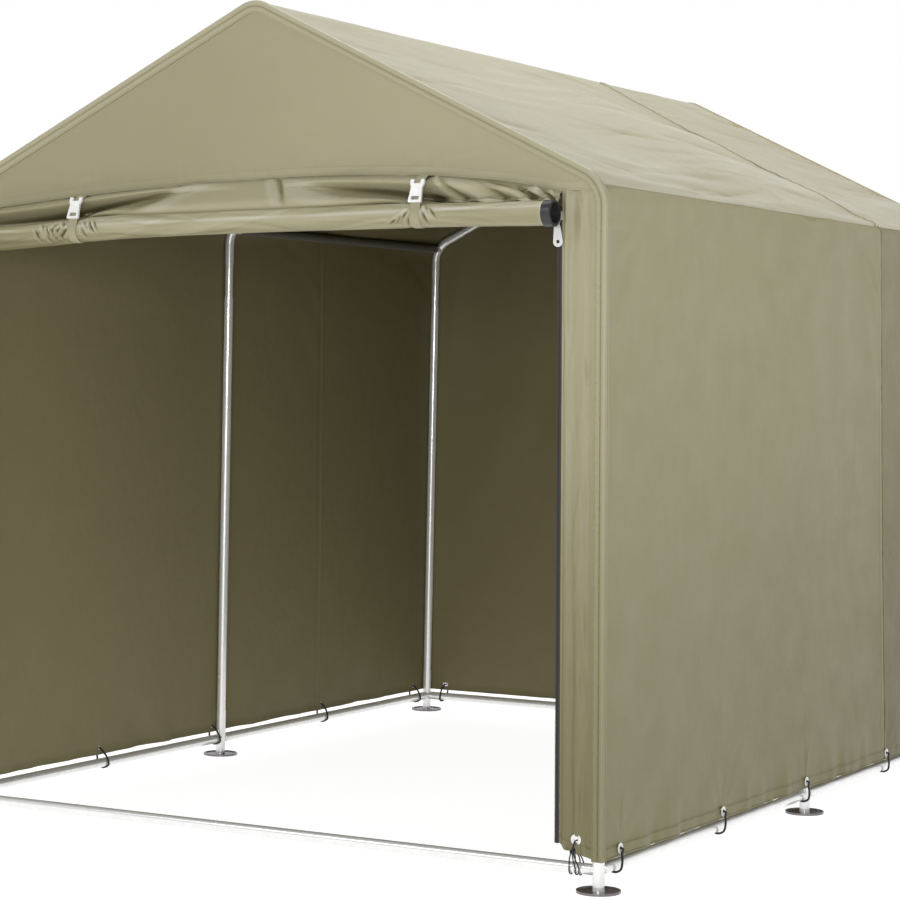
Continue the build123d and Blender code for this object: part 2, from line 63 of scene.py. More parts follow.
RIBS = [middle(f"post_{rib}_right").y for rib in ("front", "mid", "rear")]
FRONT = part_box("wall_right")[0].y
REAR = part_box("wall_right")[1].y
HEM_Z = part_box("wall_right")[0].z
RAIL = middle("base_rail_right")
EAVE_PIPE = middle("eave_rail_right")
RIDGE_PIPE = middle("ridge_rail")
MID_Y = RIBS[1]

# Section of the frame's ribs
POST_X = 0.9025
EAVE_X = 0.8875
EAVE_Z = 1.525
RIDGE_Z = 1.955
EAVE_BEND = 0.075
RIDGE_BEND = 0.060
PIPE_R = 0.0125

# Cloth: its outer face from the pipes' axes, its thickness, and how far its inner face may give way
# to the hollows of the outer one
CLOTH_OUT = 0.0165
CLOTH = 0.0021
DEEPEST = 0.006

# Front of the cover: half the doorway at the ground, how the posts lean in, where the strips end, and
# the gable's hem, an arch with its peak at an X and Z and its ends that far below it
DOOR_HALF = 0.815
LEAN = math.atan2(POST_X - EAVE_X, EAVE_Z)
STRIP_TOP = 1.515
HEM_PEAK = (0.200, 1.560)
HEM_DROP = (0.061, 0.047)
HEM_BEND = (1.75, 2.6)

# Seam where two lengths of cloth overlap, by height, at the hem, the eave and the ridge, and its
# stitch rows, by their distance past the upper cloth's edge
SEAM_Y = (MID_Y + 0.553, MID_Y + 0.492, MID_Y + 0.650)
LAP_ROWS = (-0.0190, -0.0045)

# Rows of stitches, by their distance from the edge of each cut piece
HEM_ROWS = (0.0045, 0.0270)
GABLE_ROWS = (0.0036, 0.0195)
STRIP_ROW = 0.0225

# Grid lines of a stitched hem, and the height over which painted shade darkens the cloth towards the ground
HEM_LINES = (0.0, 0.0018, 0.0045, 0.008, 0.012, 0.015, 0.018, 0.021, 0.024, 0.027, 0.030, 0.036)
LOW_SHADE_RISE = 1.35

# Tone painted on the cloth. A tone of 0 is the cloth's own colour, more is darker and less is lighter.
# The walls' is painted shade everywhere, more towards the hem and towards the rear, and a plain
# darkening past the seam. The roof's is painted sheen, with painted shade and highlight on its folds.
# The back's, the strips' and the binding's are painted shade towards the ground, with a slight
# darkening of the strips all over. The roll's is painted shade to its left, and the lining's is
# painted shade inside the shelter
WALL_SHADE, WALL_LOW_SHADE, WALL_REAR_SHADE, WALL_PAST_SEAM = 0.08, 0.34, 0.12, 0.16
ROOF_PAINTED_SHEEN, ROOF_FOLD_SHADE = -0.19, 30
BACK_LOW_SHADE = 0.25
STRIP_TONE, STRIP_LOW_SHADE = 0.02, 0.52
BINDING_LOW_SHADE = 0.42
ROLL_LEFT_SHADE = 0.28
LINING_SHADE = {"wall_left": 0.32, "wall_right": 0.27, "roof": 0.45, "back": 0.22}

# Rolled door: its pole's box, its own half length, the radius of the pole's caps, its straps, and the
# width and height that it is cut to
ROLL_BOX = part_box("roll_pole")
ROLL_Y = middle("roll_pole").y
ROLL_Z = middle("roll_pole").z
ROLL_OUT = FRONT - ROLL_Y
ROLL_HALF = 0.780
CAP_R = 0.029
STRAP_X = (-0.468, 0.468)
STRAP_HALF, STRAP_THICK = 0.0125, 0.0015

# Ties: places along the walls, across the front strips with a height, across the back, and their height
SIDE_TIES = [MID_Y + y for y in (-1.134, -0.567, -0.030, 0.567, 1.134)]
STRIP_TIE = (0.855, 0.112)
BACK_TIES = (-0.840, -0.280, 0.280, 0.840)
TIE_Z = 0.086
TIE_R = 0.0027
TIE_POINTS = 56


# Meshes


def add_mesh(name, verts, faces, materials, kinds=None):
    """A new object from points and faces, riding on the one body."""
    mesh = bpy.data.meshes.new(name)
    mesh.from_pydata([tuple(v) for v in verts], [], [tuple(f) for f in faces])
    for material in materials:
        mesh.materials.append(material)
    if kinds is not None:
        mesh.polygons.foreach_set("material_index", np.asarray(kinds, np.int32))
    mesh.update()
    mesh.shade_smooth()
    mesh.set_sharp_from_angle(angle=math.radians(50))
    piece = bpy.data.objects.new(name, mesh)
    bpy.context.scene.collection.objects.link(piece)
    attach(piece, "root")
    return piece


def add_values(piece, name, values):
    """A number for each point, for the material to read."""
    layer = piece.data.attributes.new(name, "FLOAT", "POINT")
    layer.data.foreach_set("value", np.asarray(values, np.float32).ravel())


def add_vectors(piece, name, vectors):
    """Three numbers for each point."""
    layer = piece.data.attributes.new(name, "FLOAT_VECTOR", "POINT")
    layer.data.foreach_set("vector", np.asarray(vectors, np.float32).ravel())


def grid_normals(points):
    """Unit normals of a grid of points, from its two directions."""
    along = np.gradient(points, axis=0)
    across = np.gradient(points, axis=1)
    normals = np.cross(along, across)
    return normals / np.maximum(np.linalg.norm(normals, axis=2, keepdims=True), 1e-12)


def quads(index):
    """Faces between the neighbours of a grid of point numbers."""
    return np.stack([index[:-1, :-1], index[1:, :-1], index[1:, 1:], index[:-1, 1:]], axis=2)


def ring_faces(count, size, closed=False, flip=False):
    """Faces of a row of rings with size points each, closed into a loop or with a cap on each end.
    flip turns the sides round, and not the caps."""
    index = np.arange(count * size).reshape(count, size)
    ring = np.concatenate([index, index[:, :1]], axis=1)
    if closed:
        ring = np.concatenate([ring, ring[:1]])
    faces = quads(ring).reshape(-1, 4)
    faces = (faces[:, ::-1] if flip else faces).tolist()
    return faces if closed else faces + [index[0].tolist(), index[-1][::-1].tolist()]


def cut_sheet(first, second):
    """Coordinates on the cut cloth, for its weave."""
    return np.stack([first, second, 0 * first], axis=2)


def run_of(path):
    """Distance along a path, at each of its points."""
    return np.concatenate([[0], np.cumsum(np.linalg.norm(np.diff(path, axis=0), axis=1))])


def cloth_shell(name, points, flat, tone, keep=None, thickness=CLOTH, turn=False, under=None,
                lining=None, cloth="cloth"):
    """A closed sheet of cloth. Its outer face has every grid line and its inner one every other,
    so the grid has an odd number of lines each way. keep leaves cells of the inner grid out. turn is
    for a grid whose two directions give a normal that points inwards. The inner face follows under
    where that is given, and gives way to the dips of the outer one. lining is the inner face's own
    tone, painted shade inside the shelter; without it the inner face takes the outer one's tone."""
    under = points if under is None else under
    outward = grid_normals(under) * (-1 if turn else 1)
    inner = (under + outward * (dips(points, under, outward) - thickness))[::2, ::2]
    rows, cols = points.shape[:2]
    outer_index = np.arange(rows * cols).reshape(rows, cols)
    inner_index = rows * cols + np.arange(inner.shape[0] * inner.shape[1]).reshape(inner.shape[:2])
    if keep is None:
        keep = np.ones((inner.shape[0] - 1, inner.shape[1] - 1), bool)
    fine = np.repeat(np.repeat(keep, 2, axis=0), 2, axis=1)
    outer_faces = quads(outer_index)[fine]
    inner_faces = quads(inner_index)[keep][:, ::-1]
    rims = rim_faces(outer_index, inner_index, keep)
    if turn:
        outer_faces = outer_faces[:, ::-1]
        inner_faces = inner_faces[:, ::-1]
        rims = [rim[::-1] for rim in rims]
    faces = outer_faces.tolist() + inner_faces.tolist() + rims
    kinds = [0] * len(outer_faces) + [1] * len(inner_faces) + [0] * len(rims)
    verts = np.concatenate([points.reshape(-1, 3), inner.reshape(-1, 3)])
    piece = add_mesh(name, verts, faces, [MATERIALS[cloth], MATERIALS["lining"]], kinds)
    tone = np.broadcast_to(tone, (rows, cols))
    inner_tone = tone if lining is None else np.broadcast_to(lining, (rows, cols))
    add_vectors(piece, "flat", np.concatenate([flat.reshape(-1, 3), flat[::2, ::2].reshape(-1, 3)]))
    add_values(piece, "tone", np.concatenate([tone.ravel(), inner_tone[::2, ::2].ravel()]))
    drop_loose(piece)
    return piece


def dips(points, under, outward):
    """How far the neighbours of each grid point lie below it, as a depth of zero or less."""
    depth = np.zeros(points.shape[:2])
    for axis in (0, 1):
        for step in (-1, 1):
            beside = ((np.roll(points, step, axis) - under) * outward).sum(axis=2)
            edge = [slice(None), slice(None)]
            edge[axis] = 0 if step == 1 else -1
            beside[tuple(edge)] = 0
            depth = np.minimum(depth, beside)
    return np.maximum(depth, -DEEPEST)[..., None]


# Sides of a cell: the neighbour beyond it, and its first and last corner there
CELL_SIDES = (
    ((-1, 0), (0, 0), (0, 1)), ((1, 0), (1, 1), (1, 0)),
    ((0, -1), (1, 0), (0, 0)), ((0, 1), (0, 1), (1, 1)),
)


def rim_faces(outer, inner, keep):
    """The narrow faces between the two sides of a shell, round its edge and round its holes."""
    faces = []
    padded = np.pad(keep, 1)
    for i, j in zip(*np.nonzero(keep)):
        for beyond, first, last in CELL_SIDES:
            if padded[i + 1 + beyond[0], j + 1 + beyond[1]]:
                continue
            row, col = i + first[0], j + first[1]
            end_row, end_col = i + last[0], j + last[1]
            faces.append([outer[2 * row, 2 * col], inner[row, col], inner[end_row, end_col],
                          outer[2 * end_row, 2 * end_col], outer[row + end_row, col + end_col]])
    return [[int(number) for number in face] for face in faces]


def drop_loose(piece):
    """Deletes the points that no face uses."""
    shape = bmesh.new()
    shape.from_mesh(piece.data)
    loose = [vert for vert in shape.verts if not vert.link_faces]
    bmesh.ops.delete(shape, geom=loose, context="VERTS")
    shape.to_mesh(piece.data)
    shape.free()


def lines(low, high, step, fine=()):
    """Positions from low to high about a step apart, and closer in each (start, end, step) of fine."""
    marks = set(np.round(np.linspace(low, high, max(3, int(round((high - low) / step)) + 1)), 5))
    for start, end, near in fine:
        start, end = max(start, low), min(end, high)
        marks = {m for m in marks if not start - step / 3 < m < end + step / 3 or m in (low, high)}
        marks |= set(np.round(np.linspace(start, end, max(2, int(round((end - start) / near)) + 1)), 5))
    marks = np.array(sorted(marks | {round(low, 5), round(high, 5)}))
    marks = marks[np.concatenate([[True], np.diff(marks) > 1e-4])]
    if len(marks) % 2 == 0:
        widest = int(np.argmax(np.diff(marks)))
        marks = np.insert(marks, widest + 1, (marks[widest] + marks[widest + 1]) / 2)
    return marks


# Folds


def smooth(value):
    """0 below 0, 1 above 1, and eased between."""
    value = np.clip(value, 0, 1)
    return value * value * (3 - 2 * value)


def bell(value, width, power=2):
    """1 at 0, and fading out over a width to both sides."""
    return np.exp(-(np.abs(value / width) ** power))


def fold(a, b, centre, angle, length, width, height, bend=0.0, tip=4):
    """A soft ridge on the flat cloth, or a groove where height is below zero."""
    da, db = a - centre[0], b - centre[1]
    cos, sin = math.cos(angle), math.sin(angle)
    along = da * cos + db * sin
    across = db * cos - da * sin - bend * along * along
    return height * bell(across, width) * bell(along, length, tip)


# Direction of folds that run along the second of a cloth's two directions
ACROSS = math.pi / 2


def many_folds(rng, a, b, count, area, angle, spread, length, width, height):
    """A family of folds scattered in an area ((a low, a high), (b low, b high)). The angle has a
    spread, and length, width and height each have a lowest and a highest value."""
    total = np.zeros(np.broadcast(a, b).shape)
    for _ in range(count):
        centre = (rng.uniform(*area[0]), rng.uniform(*area[1]))
        size = rng.uniform(*length)
        total += fold(
            a, b, centre, angle + rng.gauss(0, spread), size, rng.uniform(*width),
            rng.choice((-1, 1)) * rng.uniform(*height), rng.gauss(0, 0.12) / size,
        )
    return total


def ripple(rng, along, pitch, jitter=0.5):
    """An uneven wave along a seam, from -1 to 1."""
    total = np.zeros_like(along)
    for scale, share in ((1.0, 0.55), (0.61, 0.3), (1.73, 0.35)):
        phase = rng.uniform(0, 2 * math.pi)
        drift = rng.uniform(0, 2 * math.pi)
        wander = jitter * np.sin(along / (pitch * 5.3) + drift)
        total += share * np.sin(2 * math.pi * along / (pitch * scale) + phase + 2 * wander)
    return total


def pucker(rng, along, across, pitch, reach, height):
    """Small wrinkles that stand across a seam and fade out away from it."""
    fade = bell(across, reach)
    swell = 0.65 + 0.35 * np.sin(along / (pitch * 4.1) + rng.uniform(0, 6))
    return height * fade * swell * ripple(rng, along + 0.25 * across, pitch)


# Section of the cover


def tangent(first, second):
    """The outward normal of the line that touches two circles, (x, z, radius) each."""
    step = np.array([second[0] - first[0], second[1] - first[1]])
    span = np.linalg.norm(step)
    step = step / span
    lean = (first[2] - second[2]) / span
    side = np.array([step[1], -step[0]])
    return step * lean + side * math.sqrt(1 - lean * lean)


def fillet_circle(corner, first, second, bend):
    """The circle that rounds a corner of the ribs, grown out to the cloth."""
    corner, first, second = (np.array(point, float) for point in (corner, first, second))
    legs = [(end - corner) / np.linalg.norm(end - corner) for end in (first, second)]
    inward = (legs[0] + legs[1]) / np.linalg.norm(legs[0] + legs[1])
    half = math.acos(np.clip(legs[0] @ legs[1], -1, 1)) / 2
    centre = corner + inward * bend / math.sin(half)
    return (centre[0], centre[1], bend + CLOTH_OUT)


RIB_SHAPE = (
    (POST_X, 0.0, CLOTH_OUT),
    fillet_circle((EAVE_X, EAVE_Z), (POST_X, 0), (0, RIDGE_Z), EAVE_BEND),
    fillet_circle((0, RIDGE_Z), (EAVE_X, EAVE_Z), (-EAVE_X, EAVE_Z), RIDGE_BEND),
)
BAY_SHAPE = (
    (RAIL.x, RAIL.z, CLOTH_OUT),
    (EAVE_PIPE.x, EAVE_PIPE.z, CLOTH_OUT),
    (0.0, RIDGE_PIPE.z, CLOTH_OUT),
)


def turned(start, end, share):
    """A direction part of the way round from one to another."""
    first, last = math.atan2(start[1], start[0]), math.atan2(end[1], end[0])
    angle = first + (last - first) * share
    return np.stack([np.cos(angle), np.sin(angle)], axis=-1)


def section(stations, shape):
    """Points and outward normals of the cover's right half. A station goes from 0 at the hem to 1
    at the start of the eave's bend, 2 at its end, 3 at the start of the ridge's bend and 4 at the top."""
    base, eave, ridge = shape
    wall, slope, top = tangent(base, eave), tangent(eave, ridge), np.array([0.0, 1.0])
    share = np.clip(stations[:, None] - np.arange(4), 0, 1)
    start = np.array(base[:2]) + wall * base[2]
    finish = np.array(eave[:2]) + wall * eave[2]
    hem = start + (finish - start) * (HEM_Z - start[1]) / (finish[1] - start[1])
    roof_start = np.array(eave[:2]) + slope * eave[2]
    roof_end = np.array(ridge[:2]) + slope * ridge[2]
    eave_out = turned(wall, slope, share[:, 1])
    ridge_out = turned(slope, top, share[:, 3])
    parts = [
        hem + (finish - hem) * share[:, :1],
        np.array(eave[:2]) + eave_out * eave[2],
        roof_start + (roof_end - roof_start) * share[:, 2:3],
        np.array(ridge[:2]) + ridge_out * ridge[2],
    ]
    ways = [np.tile(wall, (len(stations), 1)), eave_out, np.tile(slope, (len(stations), 1)), ridge_out]
    part = np.clip(stations.astype(int), 0, 3)
    pick = np.arange(len(stations))
    return np.array(parts)[part, pick], np.array(ways)[part, pick]


def outline_x(z, inset=0.0):
    """X of the ribs' outline, seen from the front, at a height up to the middle of the eave's bend."""
    base, eave, _ = RIB_SHAPE
    wall = tangent(base, eave)
    straight = base[0] + ((CLOTH_OUT - inset) - wall[1] * z) / wall[0]
    rise = np.clip(z - eave[1], 0, eave[2] - inset - 1e-4)
    bent = eave[0] + np.sqrt((eave[2] - inset) ** 2 - rise**2)
    return np.where(z < eave[1] + wall[1] * eave[2], straight, bent)


def outline_z(x, inset=0.0):
    """Height of the ribs' outline over a place across the front."""
    x = np.abs(x)
    _, eave, ridge = RIB_SHAPE
    slope = tangent(eave, ridge)
    reach = ridge[2] - inset
    top = ridge[1] + np.sqrt(np.maximum(reach**2 - x**2, 0))
    plane = (ridge[0] * slope[0] + ridge[1] * slope[1] + reach - slope[0] * x) / slope[1]
    bend = eave[2] - inset
    corner = eave[1] + np.sqrt(np.maximum(bend**2 - np.maximum(x - eave[0], 0) ** 2, 0))
    high = np.where(x < slope[0] * reach, top, plane)
    return np.where(x > eave[0] + slope[0] * bend, corner, high)


def doorway_edge(z):
    """Half the doorway's width at a height."""
    return DOOR_HALF - z * math.tan(LEAN)


def hem_z(x):
    """Height of the gable's hem, which arches over the doorway."""
    edge = doorway_edge(STRIP_TOP)
    left = np.clip((HEM_PEAK[0] - x) / (HEM_PEAK[0] + edge), 0, 1) ** HEM_BEND[0]
    right = np.clip((x - HEM_PEAK[0]) / (edge - HEM_PEAK[0]), 0, 1) ** HEM_BEND[1]
    return HEM_PEAK[1] - HEM_DROP[0] * left - HEM_DROP[1] * right


def seam_y(stations):
    """Where the seam between two lengths of cloth crosses each line of the section."""
    return np.interp(stations, (0, 1.5, 4), SEAM_Y)


def bay_share(stations, y):
    """0 over a rib, and towards 1 between ribs, where the long pipes hold the cloth instead."""
    away = np.min(np.abs(y[None, :, None] - np.array(RIBS)), axis=2)
    from_eave = np.abs(stations - 1.5)[:, None]
    reach = 0.04 + 0.34 * smooth((from_eave - 0.1) / 0.6)
    return 1 - bell(np.maximum(away - 0.012, 0), reach, 1.3)


def cover_grid(side, stations, y_lines):
    """Points, outward normals and flat coordinates on a grid of stations and places along Y."""
    rib_at, rib_way = section(stations, RIB_SHAPE)
    bay_at, bay_way = section(stations, BAY_SHAPE)
    shift = (seam_y(stations) - SEAM_Y[1])[:, None]
    y = y_lines[None, :] + shift * np.clip(1 - np.abs(y_lines - SEAM_Y[1]) / 0.5, 0, 1)[None, :]
    share = bay_share(stations, y_lines)[..., None]
    at = rib_at[:, None] * (1 - share) + bay_at[:, None] * share
    way = rib_way[:, None] * (1 - share) + bay_way[:, None] * share
    way /= np.linalg.norm(way, axis=2, keepdims=True)
    points = np.stack([side * at[..., 0], y, at[..., 1]], axis=2)
    normals = np.stack([side * way[..., 0], np.zeros_like(y), way[..., 1]], axis=2)
    flat = cut_sheet(np.broadcast_to(run_of(rib_at)[:, None], y.shape), y)
    return points, normals, flat


def lap_seam(rng, along, away, height=0.0014, step_shadow_tone=0.0):
    """Shape and tone of a lap seam: away is the distance past the upper cloth's edge. The tone is
    painted shade in the groove and along the stitch rows, painted highlight on the lap, and, by the
    last argument, painted shadow on the step on the lap's other side."""
    lap = height * smooth((away + 0.024) / 0.003) * smooth((0.0012 - away) / 0.0016)
    rows = sum(bell(away - row, 0.0013) for row in LAP_ROWS[::-1])
    groove = bell(away - 0.0030, 0.0034) * (0.66 + 0.34 * ripple(rng, along, 0.085))
    # Painted shadow on the step on the lap's other side
    front = step_shadow_tone * bell(away + 0.0225, 0.0024)
    shape = lap - 0.0009 * rows - 0.0016 * groove
    shape = shape + pucker(rng, along, away + 0.008, 0.021, 0.026, 0.0010)
    # Painted highlight on the lap; the returned tone adds painted shade in the groove and on the rows
    lit = 0.12 * smooth((away + 0.030) / 0.004) * smooth(-away / 0.004)
    return shape, 0.95 * groove + front + 0.25 * rows - lit


def edge_puckers(rng, along, away, height=0.0012):
    """Wrinkles that run into the cloth from a bound edge."""
    small = pucker(rng, along, away, 0.017, 0.022, height)
    return small + pucker(rng, along, away, 0.052, 0.070, 1.3 * height)


def ends_puckered(rng, s, along):
    """Wrinkles along the front and rear edges of a cover piece."""
    return edge_puckers(rng, s, along - FRONT) + edge_puckers(rng, s, REAR - along)


PLAIN = 40


def odd(stations):
    """The same stations, with one more in a plain stretch of them where their number is even."""
    if len(stations) % 2:
        return stations
    return np.sort(np.append(stations, 0.5 * (stations[PLAIN] + stations[PLAIN + 1])))


def cover_y_lines(step):
    """Places of the grid lines along Y, closer at the ties, the seam and the cover's ends."""
    seam = SEAM_Y[1]
    ties = [(y - 0.012, y + 0.012, 0.003) for y in SIDE_TIES]
    near = [(FRONT, FRONT + 0.05, 0.005), (REAR - 0.05, REAR, 0.006)]
    return lines(FRONT, REAR, step, ties + near + [(seam - 0.034, seam + 0.022, 0.0018)])


def wall(name, side):
    """A side wall, from its hem up to the middle of the eave's bend."""
    rng = random.Random(11 + side)
    y = cover_y_lines(0.013)
    height = EAVE_Z - HEM_Z
    up = np.concatenate([np.array(HEM_LINES) / height, np.linspace(0.044 / height, 0.955, 106)])
    stations = odd(np.concatenate([up, np.linspace(0.960, 1.0, 12), np.linspace(1.06, 1.5, 7)]))
    points, normals, flat = cover_grid(side, stations, y)
    s, along = flat[..., 0], flat[..., 1]
    eave = s[np.searchsorted(stations, 1.0)][0]
    bay = bay_share(np.full(1, 0.5), y)
    shape = -0.004 * np.sin(math.pi * np.clip(s / eave, 0, 1)) * bay
    shape += many_folds(rng, s, along, 26, ((eave - 0.20, eave - 0.03), (FRONT, REAR)), ACROSS, 0.12,
                        (0.08, 0.25), (0.010, 0.022), (0.0006, 0.0018))
    shape += many_folds(rng, s, along, 12, ((0.1, eave), (FRONT, REAR)), 0.5, 0.6,
                        (0.15, 0.45), (0.04, 0.10), (0.0005, 0.0012))
    shape += hem_folds(rng, s, along)
    past_seam = along - seam_y(stations)[:, None]
    lap, lap_tone = lap_seam(rng, s, past_seam)
    shape += lap
    shape += ends_puckered(rng, s, along)
    shape += corner_pulls(s, along, eave)
    rows = bell(s - HEM_ROWS[1], 0.0014) + bell(s - HEM_ROWS[0], 0.0014)
    shape += 0.0010 * smooth((0.030 - s) / 0.003) - 0.0008 * rows
    rearward = smooth((along - FRONT) / (REAR - FRONT))
    # Painted shade along the stitch rows, in a line along the eave's bend, over the whole wall, towards the
    # hem and towards the rear, with a plain darkening past the seam
    tone = lap_tone + 0.35 * rows + 0.26 * bell(s - s.max() + 0.009, 0.005)
    tone += WALL_SHADE + WALL_LOW_SHADE * smooth(1 - s / LOW_SHADE_RISE)
    tone += WALL_REAR_SHADE * rearward + WALL_PAST_SEAM * smooth(past_seam / 0.004)
    points = points + normals * shape[..., None]
    keep = tie_holes(s, along, [(TIE_Z - HEM_Z, place) for place in SIDE_TIES])
    # The lining's painted shade inside; on the left wall it deepens towards the rear
    lining = LINING_SHADE[f"wall_{name}"] * (rearward if side < 0 else 1)
    piece = cloth_shell(f"wall_{name}_cloth", points, flat, tone, keep, turn=side > 0,
                        lining=lining, cloth="side_cloth")
    seam_rows("cover", points, s, HEM_ROWS, turn=side > 0)
    seam_rows("cover", points, past_seam, LAP_ROWS, turn=side > 0, down=False)
    hang(piece, f"wall_{name}", (REAR - FRONT, float(s.max())), [f"eave_rail_{name}", f"post_mid_{name}"])


def hang(piece, node, flat, rests_on, **more):
    """Hides the CAD node whose place a cloth piece takes."""
    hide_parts(node)


def hem_folds(rng, s, along):
    """The hem, pulled in at its ties and loose between them, with folds that fan out from each tie."""
    ties = np.array(SIDE_TIES)
    away = np.min(np.abs(along[..., None] - ties), axis=2)
    slack = smooth(away / 0.22)
    shape = 0.0070 * slack * bell(s, 0.09) * ripple(rng, along, 0.23)
    shape += 0.0040 * slack * bell(s, 0.05) * ripple(rng, along, 0.085)
    shape -= 0.0040 * bell(away, 0.05) * bell(s, 0.07)
    for place in SIDE_TIES:
        for angle in (-1.15, -0.62, -0.2, 0.25, 0.7, 1.2):
            lean = angle + rng.gauss(0, 0.12)
            reach = rng.uniform(0.045, 0.085)
            centre = (TIE_Z - HEM_Z + reach * math.cos(lean), place + reach * math.sin(lean))
            shape += fold(s, along, centre, lean, reach * 0.9, 0.007, rng.choice((-1, 1)) * 0.0016, tip=2)
    return shape


def corner_pulls(s, along, eave):
    """Diagonal folds under the eave where the seam and the ends of the cover pull at the wall."""
    seam = SEAM_Y[1]
    pulls = (
        ((eave - 0.055, seam - 0.10), 2.10, 0.10, 0.016, 0.0030),
        ((eave - 0.095, seam - 0.07), 2.25, 0.09, 0.014, -0.0026),
        ((eave - 0.160, seam - 0.055), 2.45, 0.11, 0.020, 0.0028),
        ((eave - 0.330, seam - 0.050), 2.75, 0.14, 0.024, 0.0022),
        ((eave - 0.050, REAR - 0.12), 2.10, 0.10, 0.018, 0.0028),
        ((eave - 0.110, REAR - 0.08), 2.30, 0.10, 0.016, -0.0024),
        ((eave - 0.060, FRONT + 0.13), 1.05, 0.11, 0.022, 0.0022),
        ((eave - 0.150, FRONT + 0.09), 0.75, 0.14, 0.022, -0.0018),
        ((eave - 0.420, FRONT + 0.07), 0.18, 0.34, 0.016, 0.0006),
    )
    return sum(fold(s, along, *pull) for pull in pulls)


def tie_holes(s, along, places, reach=0.0078):
    """The cells of the inner grid to keep, with a hole left at each tie."""
    first, last = slice(None, -1, 2), slice(2, None, 2)
    middles = [0.25 * (grid[first, first] + grid[last, first] + grid[first, last] + grid[last, last])
               for grid in (s, along)]
    keep = np.ones(middles[0].shape, bool)
    for place in places:
        keep &= np.hypot(middles[0] - place[0], middles[1] - place[1]) > reach
    return keep


def roof(name, side):
    """A roof slope, from the middle of the eave's bend up to the ridge."""
    rng = random.Random(31 + side)
    y = cover_y_lines(0.012)
    stations = odd(np.concatenate([
        np.linspace(1.5, 1.94, 7), np.linspace(2.0, 2.055, 9)[:-1], np.linspace(2.055, 3.0, 88),
        np.linspace(3.1, 4.0, 8),
    ]))
    points, normals, flat = cover_grid(side, stations, y)
    s, along = flat[..., 0], flat[..., 1]
    slope = s[np.searchsorted(stations, 3.0)][0]
    bay = bay_share(np.full(1, 2.5), y)
    sag = -0.008 * np.sin(math.pi * np.clip(s / slope, 0, 1)) * bay
    shape = np.zeros_like(sag)
    front_bay = ((0.02, slope), (FRONT, MID_Y + 0.1))
    rear_bay = ((0.02, slope), (MID_Y, REAR))
    low_edge, whole = ((0.03, 0.25), (FRONT, REAR)), ((0.1, slope), (FRONT, REAR))
    for family in (
        (58, front_bay, ACROSS - 0.07, 0.09, (0.09, 0.34), (0.007, 0.020), (0.0012, 0.0036)),
        (46, rear_bay, ACROSS + 0.16, 0.12, (0.07, 0.26), (0.008, 0.020), (0.0012, 0.0038)),
        (24, low_edge, ACROSS - 0.03, 0.06, (0.12, 0.30), (0.008, 0.015), (0.0012, 0.0028)),
        (14, whole, ACROSS, 0.25, (0.25, 0.5), (0.04, 0.09), (0.0015, 0.0035)),
    ):
        shape += many_folds(rng, s, along, *family)
    shape += rafter_pulls(rng, s, along)
    # Painted sheen over the whole roof, painted highlight on its raised folds and painted shade in their
    # hollows
    tone = ROOF_PAINTED_SHEEN - ROOF_FOLD_SHADE * shape
    shape += sag
    past_seam = along - seam_y(stations)[:, None]
    lap, lap_tone = lap_seam(rng, s, past_seam, 0.0040, 1.0)
    shape += lap
    shape += ends_puckered(rng, s, along)
    shape *= smooth((s + 0.004) / 0.02) * smooth((s.max() + 0.01 - s) / 0.05)
    points = points + normals * shape[..., None]
    piece = cloth_shell(f"roof_{name}_cloth", points, flat, lap_tone + tone, turn=side > 0,
                        lining=LINING_SHADE["roof"])
    seam_rows("cover", points, past_seam, LAP_ROWS, turn=side > 0, down=False)
    hang(piece, f"roof_{name}", (REAR - FRONT, float(s.max())),
         [f"eave_rail_{name}", f"rafter_mid_{name}", "ridge_rail"])


def rafter_pulls(rng, s, along):
    """Short folds that leave the middle rafter near the eave, and the crease over it."""
    shape = np.zeros_like(s)
    for place, lean, height in ((0.05, 1.15, 0.0030), (0.09, 0.9, -0.0024), (0.16, 1.3, 0.0022)):
        shape += fold(s, along, (place, MID_Y - 0.05), lean, 0.07, 0.010, height, tip=2)
    for _ in range(10):
        centre = (rng.uniform(0.1, 0.9), MID_Y + rng.gauss(0, 0.05))
        shape += fold(s, along, centre, rng.gauss(0.9, 0.3), rng.uniform(0.05, 0.1), 0.012,
                      rng.choice((-1, 1)) * 0.0014, tip=2)
    return shape


# Front and back panels

# Folds down the strips: distance from the doorway, width, height and phase
STRIP_FOLDS = (
    (0.014, 0.006, 0.0032, 0.5), (0.029, 0.008, -0.0046, 2.0), (0.046, 0.010, 0.0052, 4.0),
    (0.064, 0.007, -0.0036, 5.2), (0.078, 0.006, 0.0028, 1.1),
)
STRIP_LIFT = 0.024


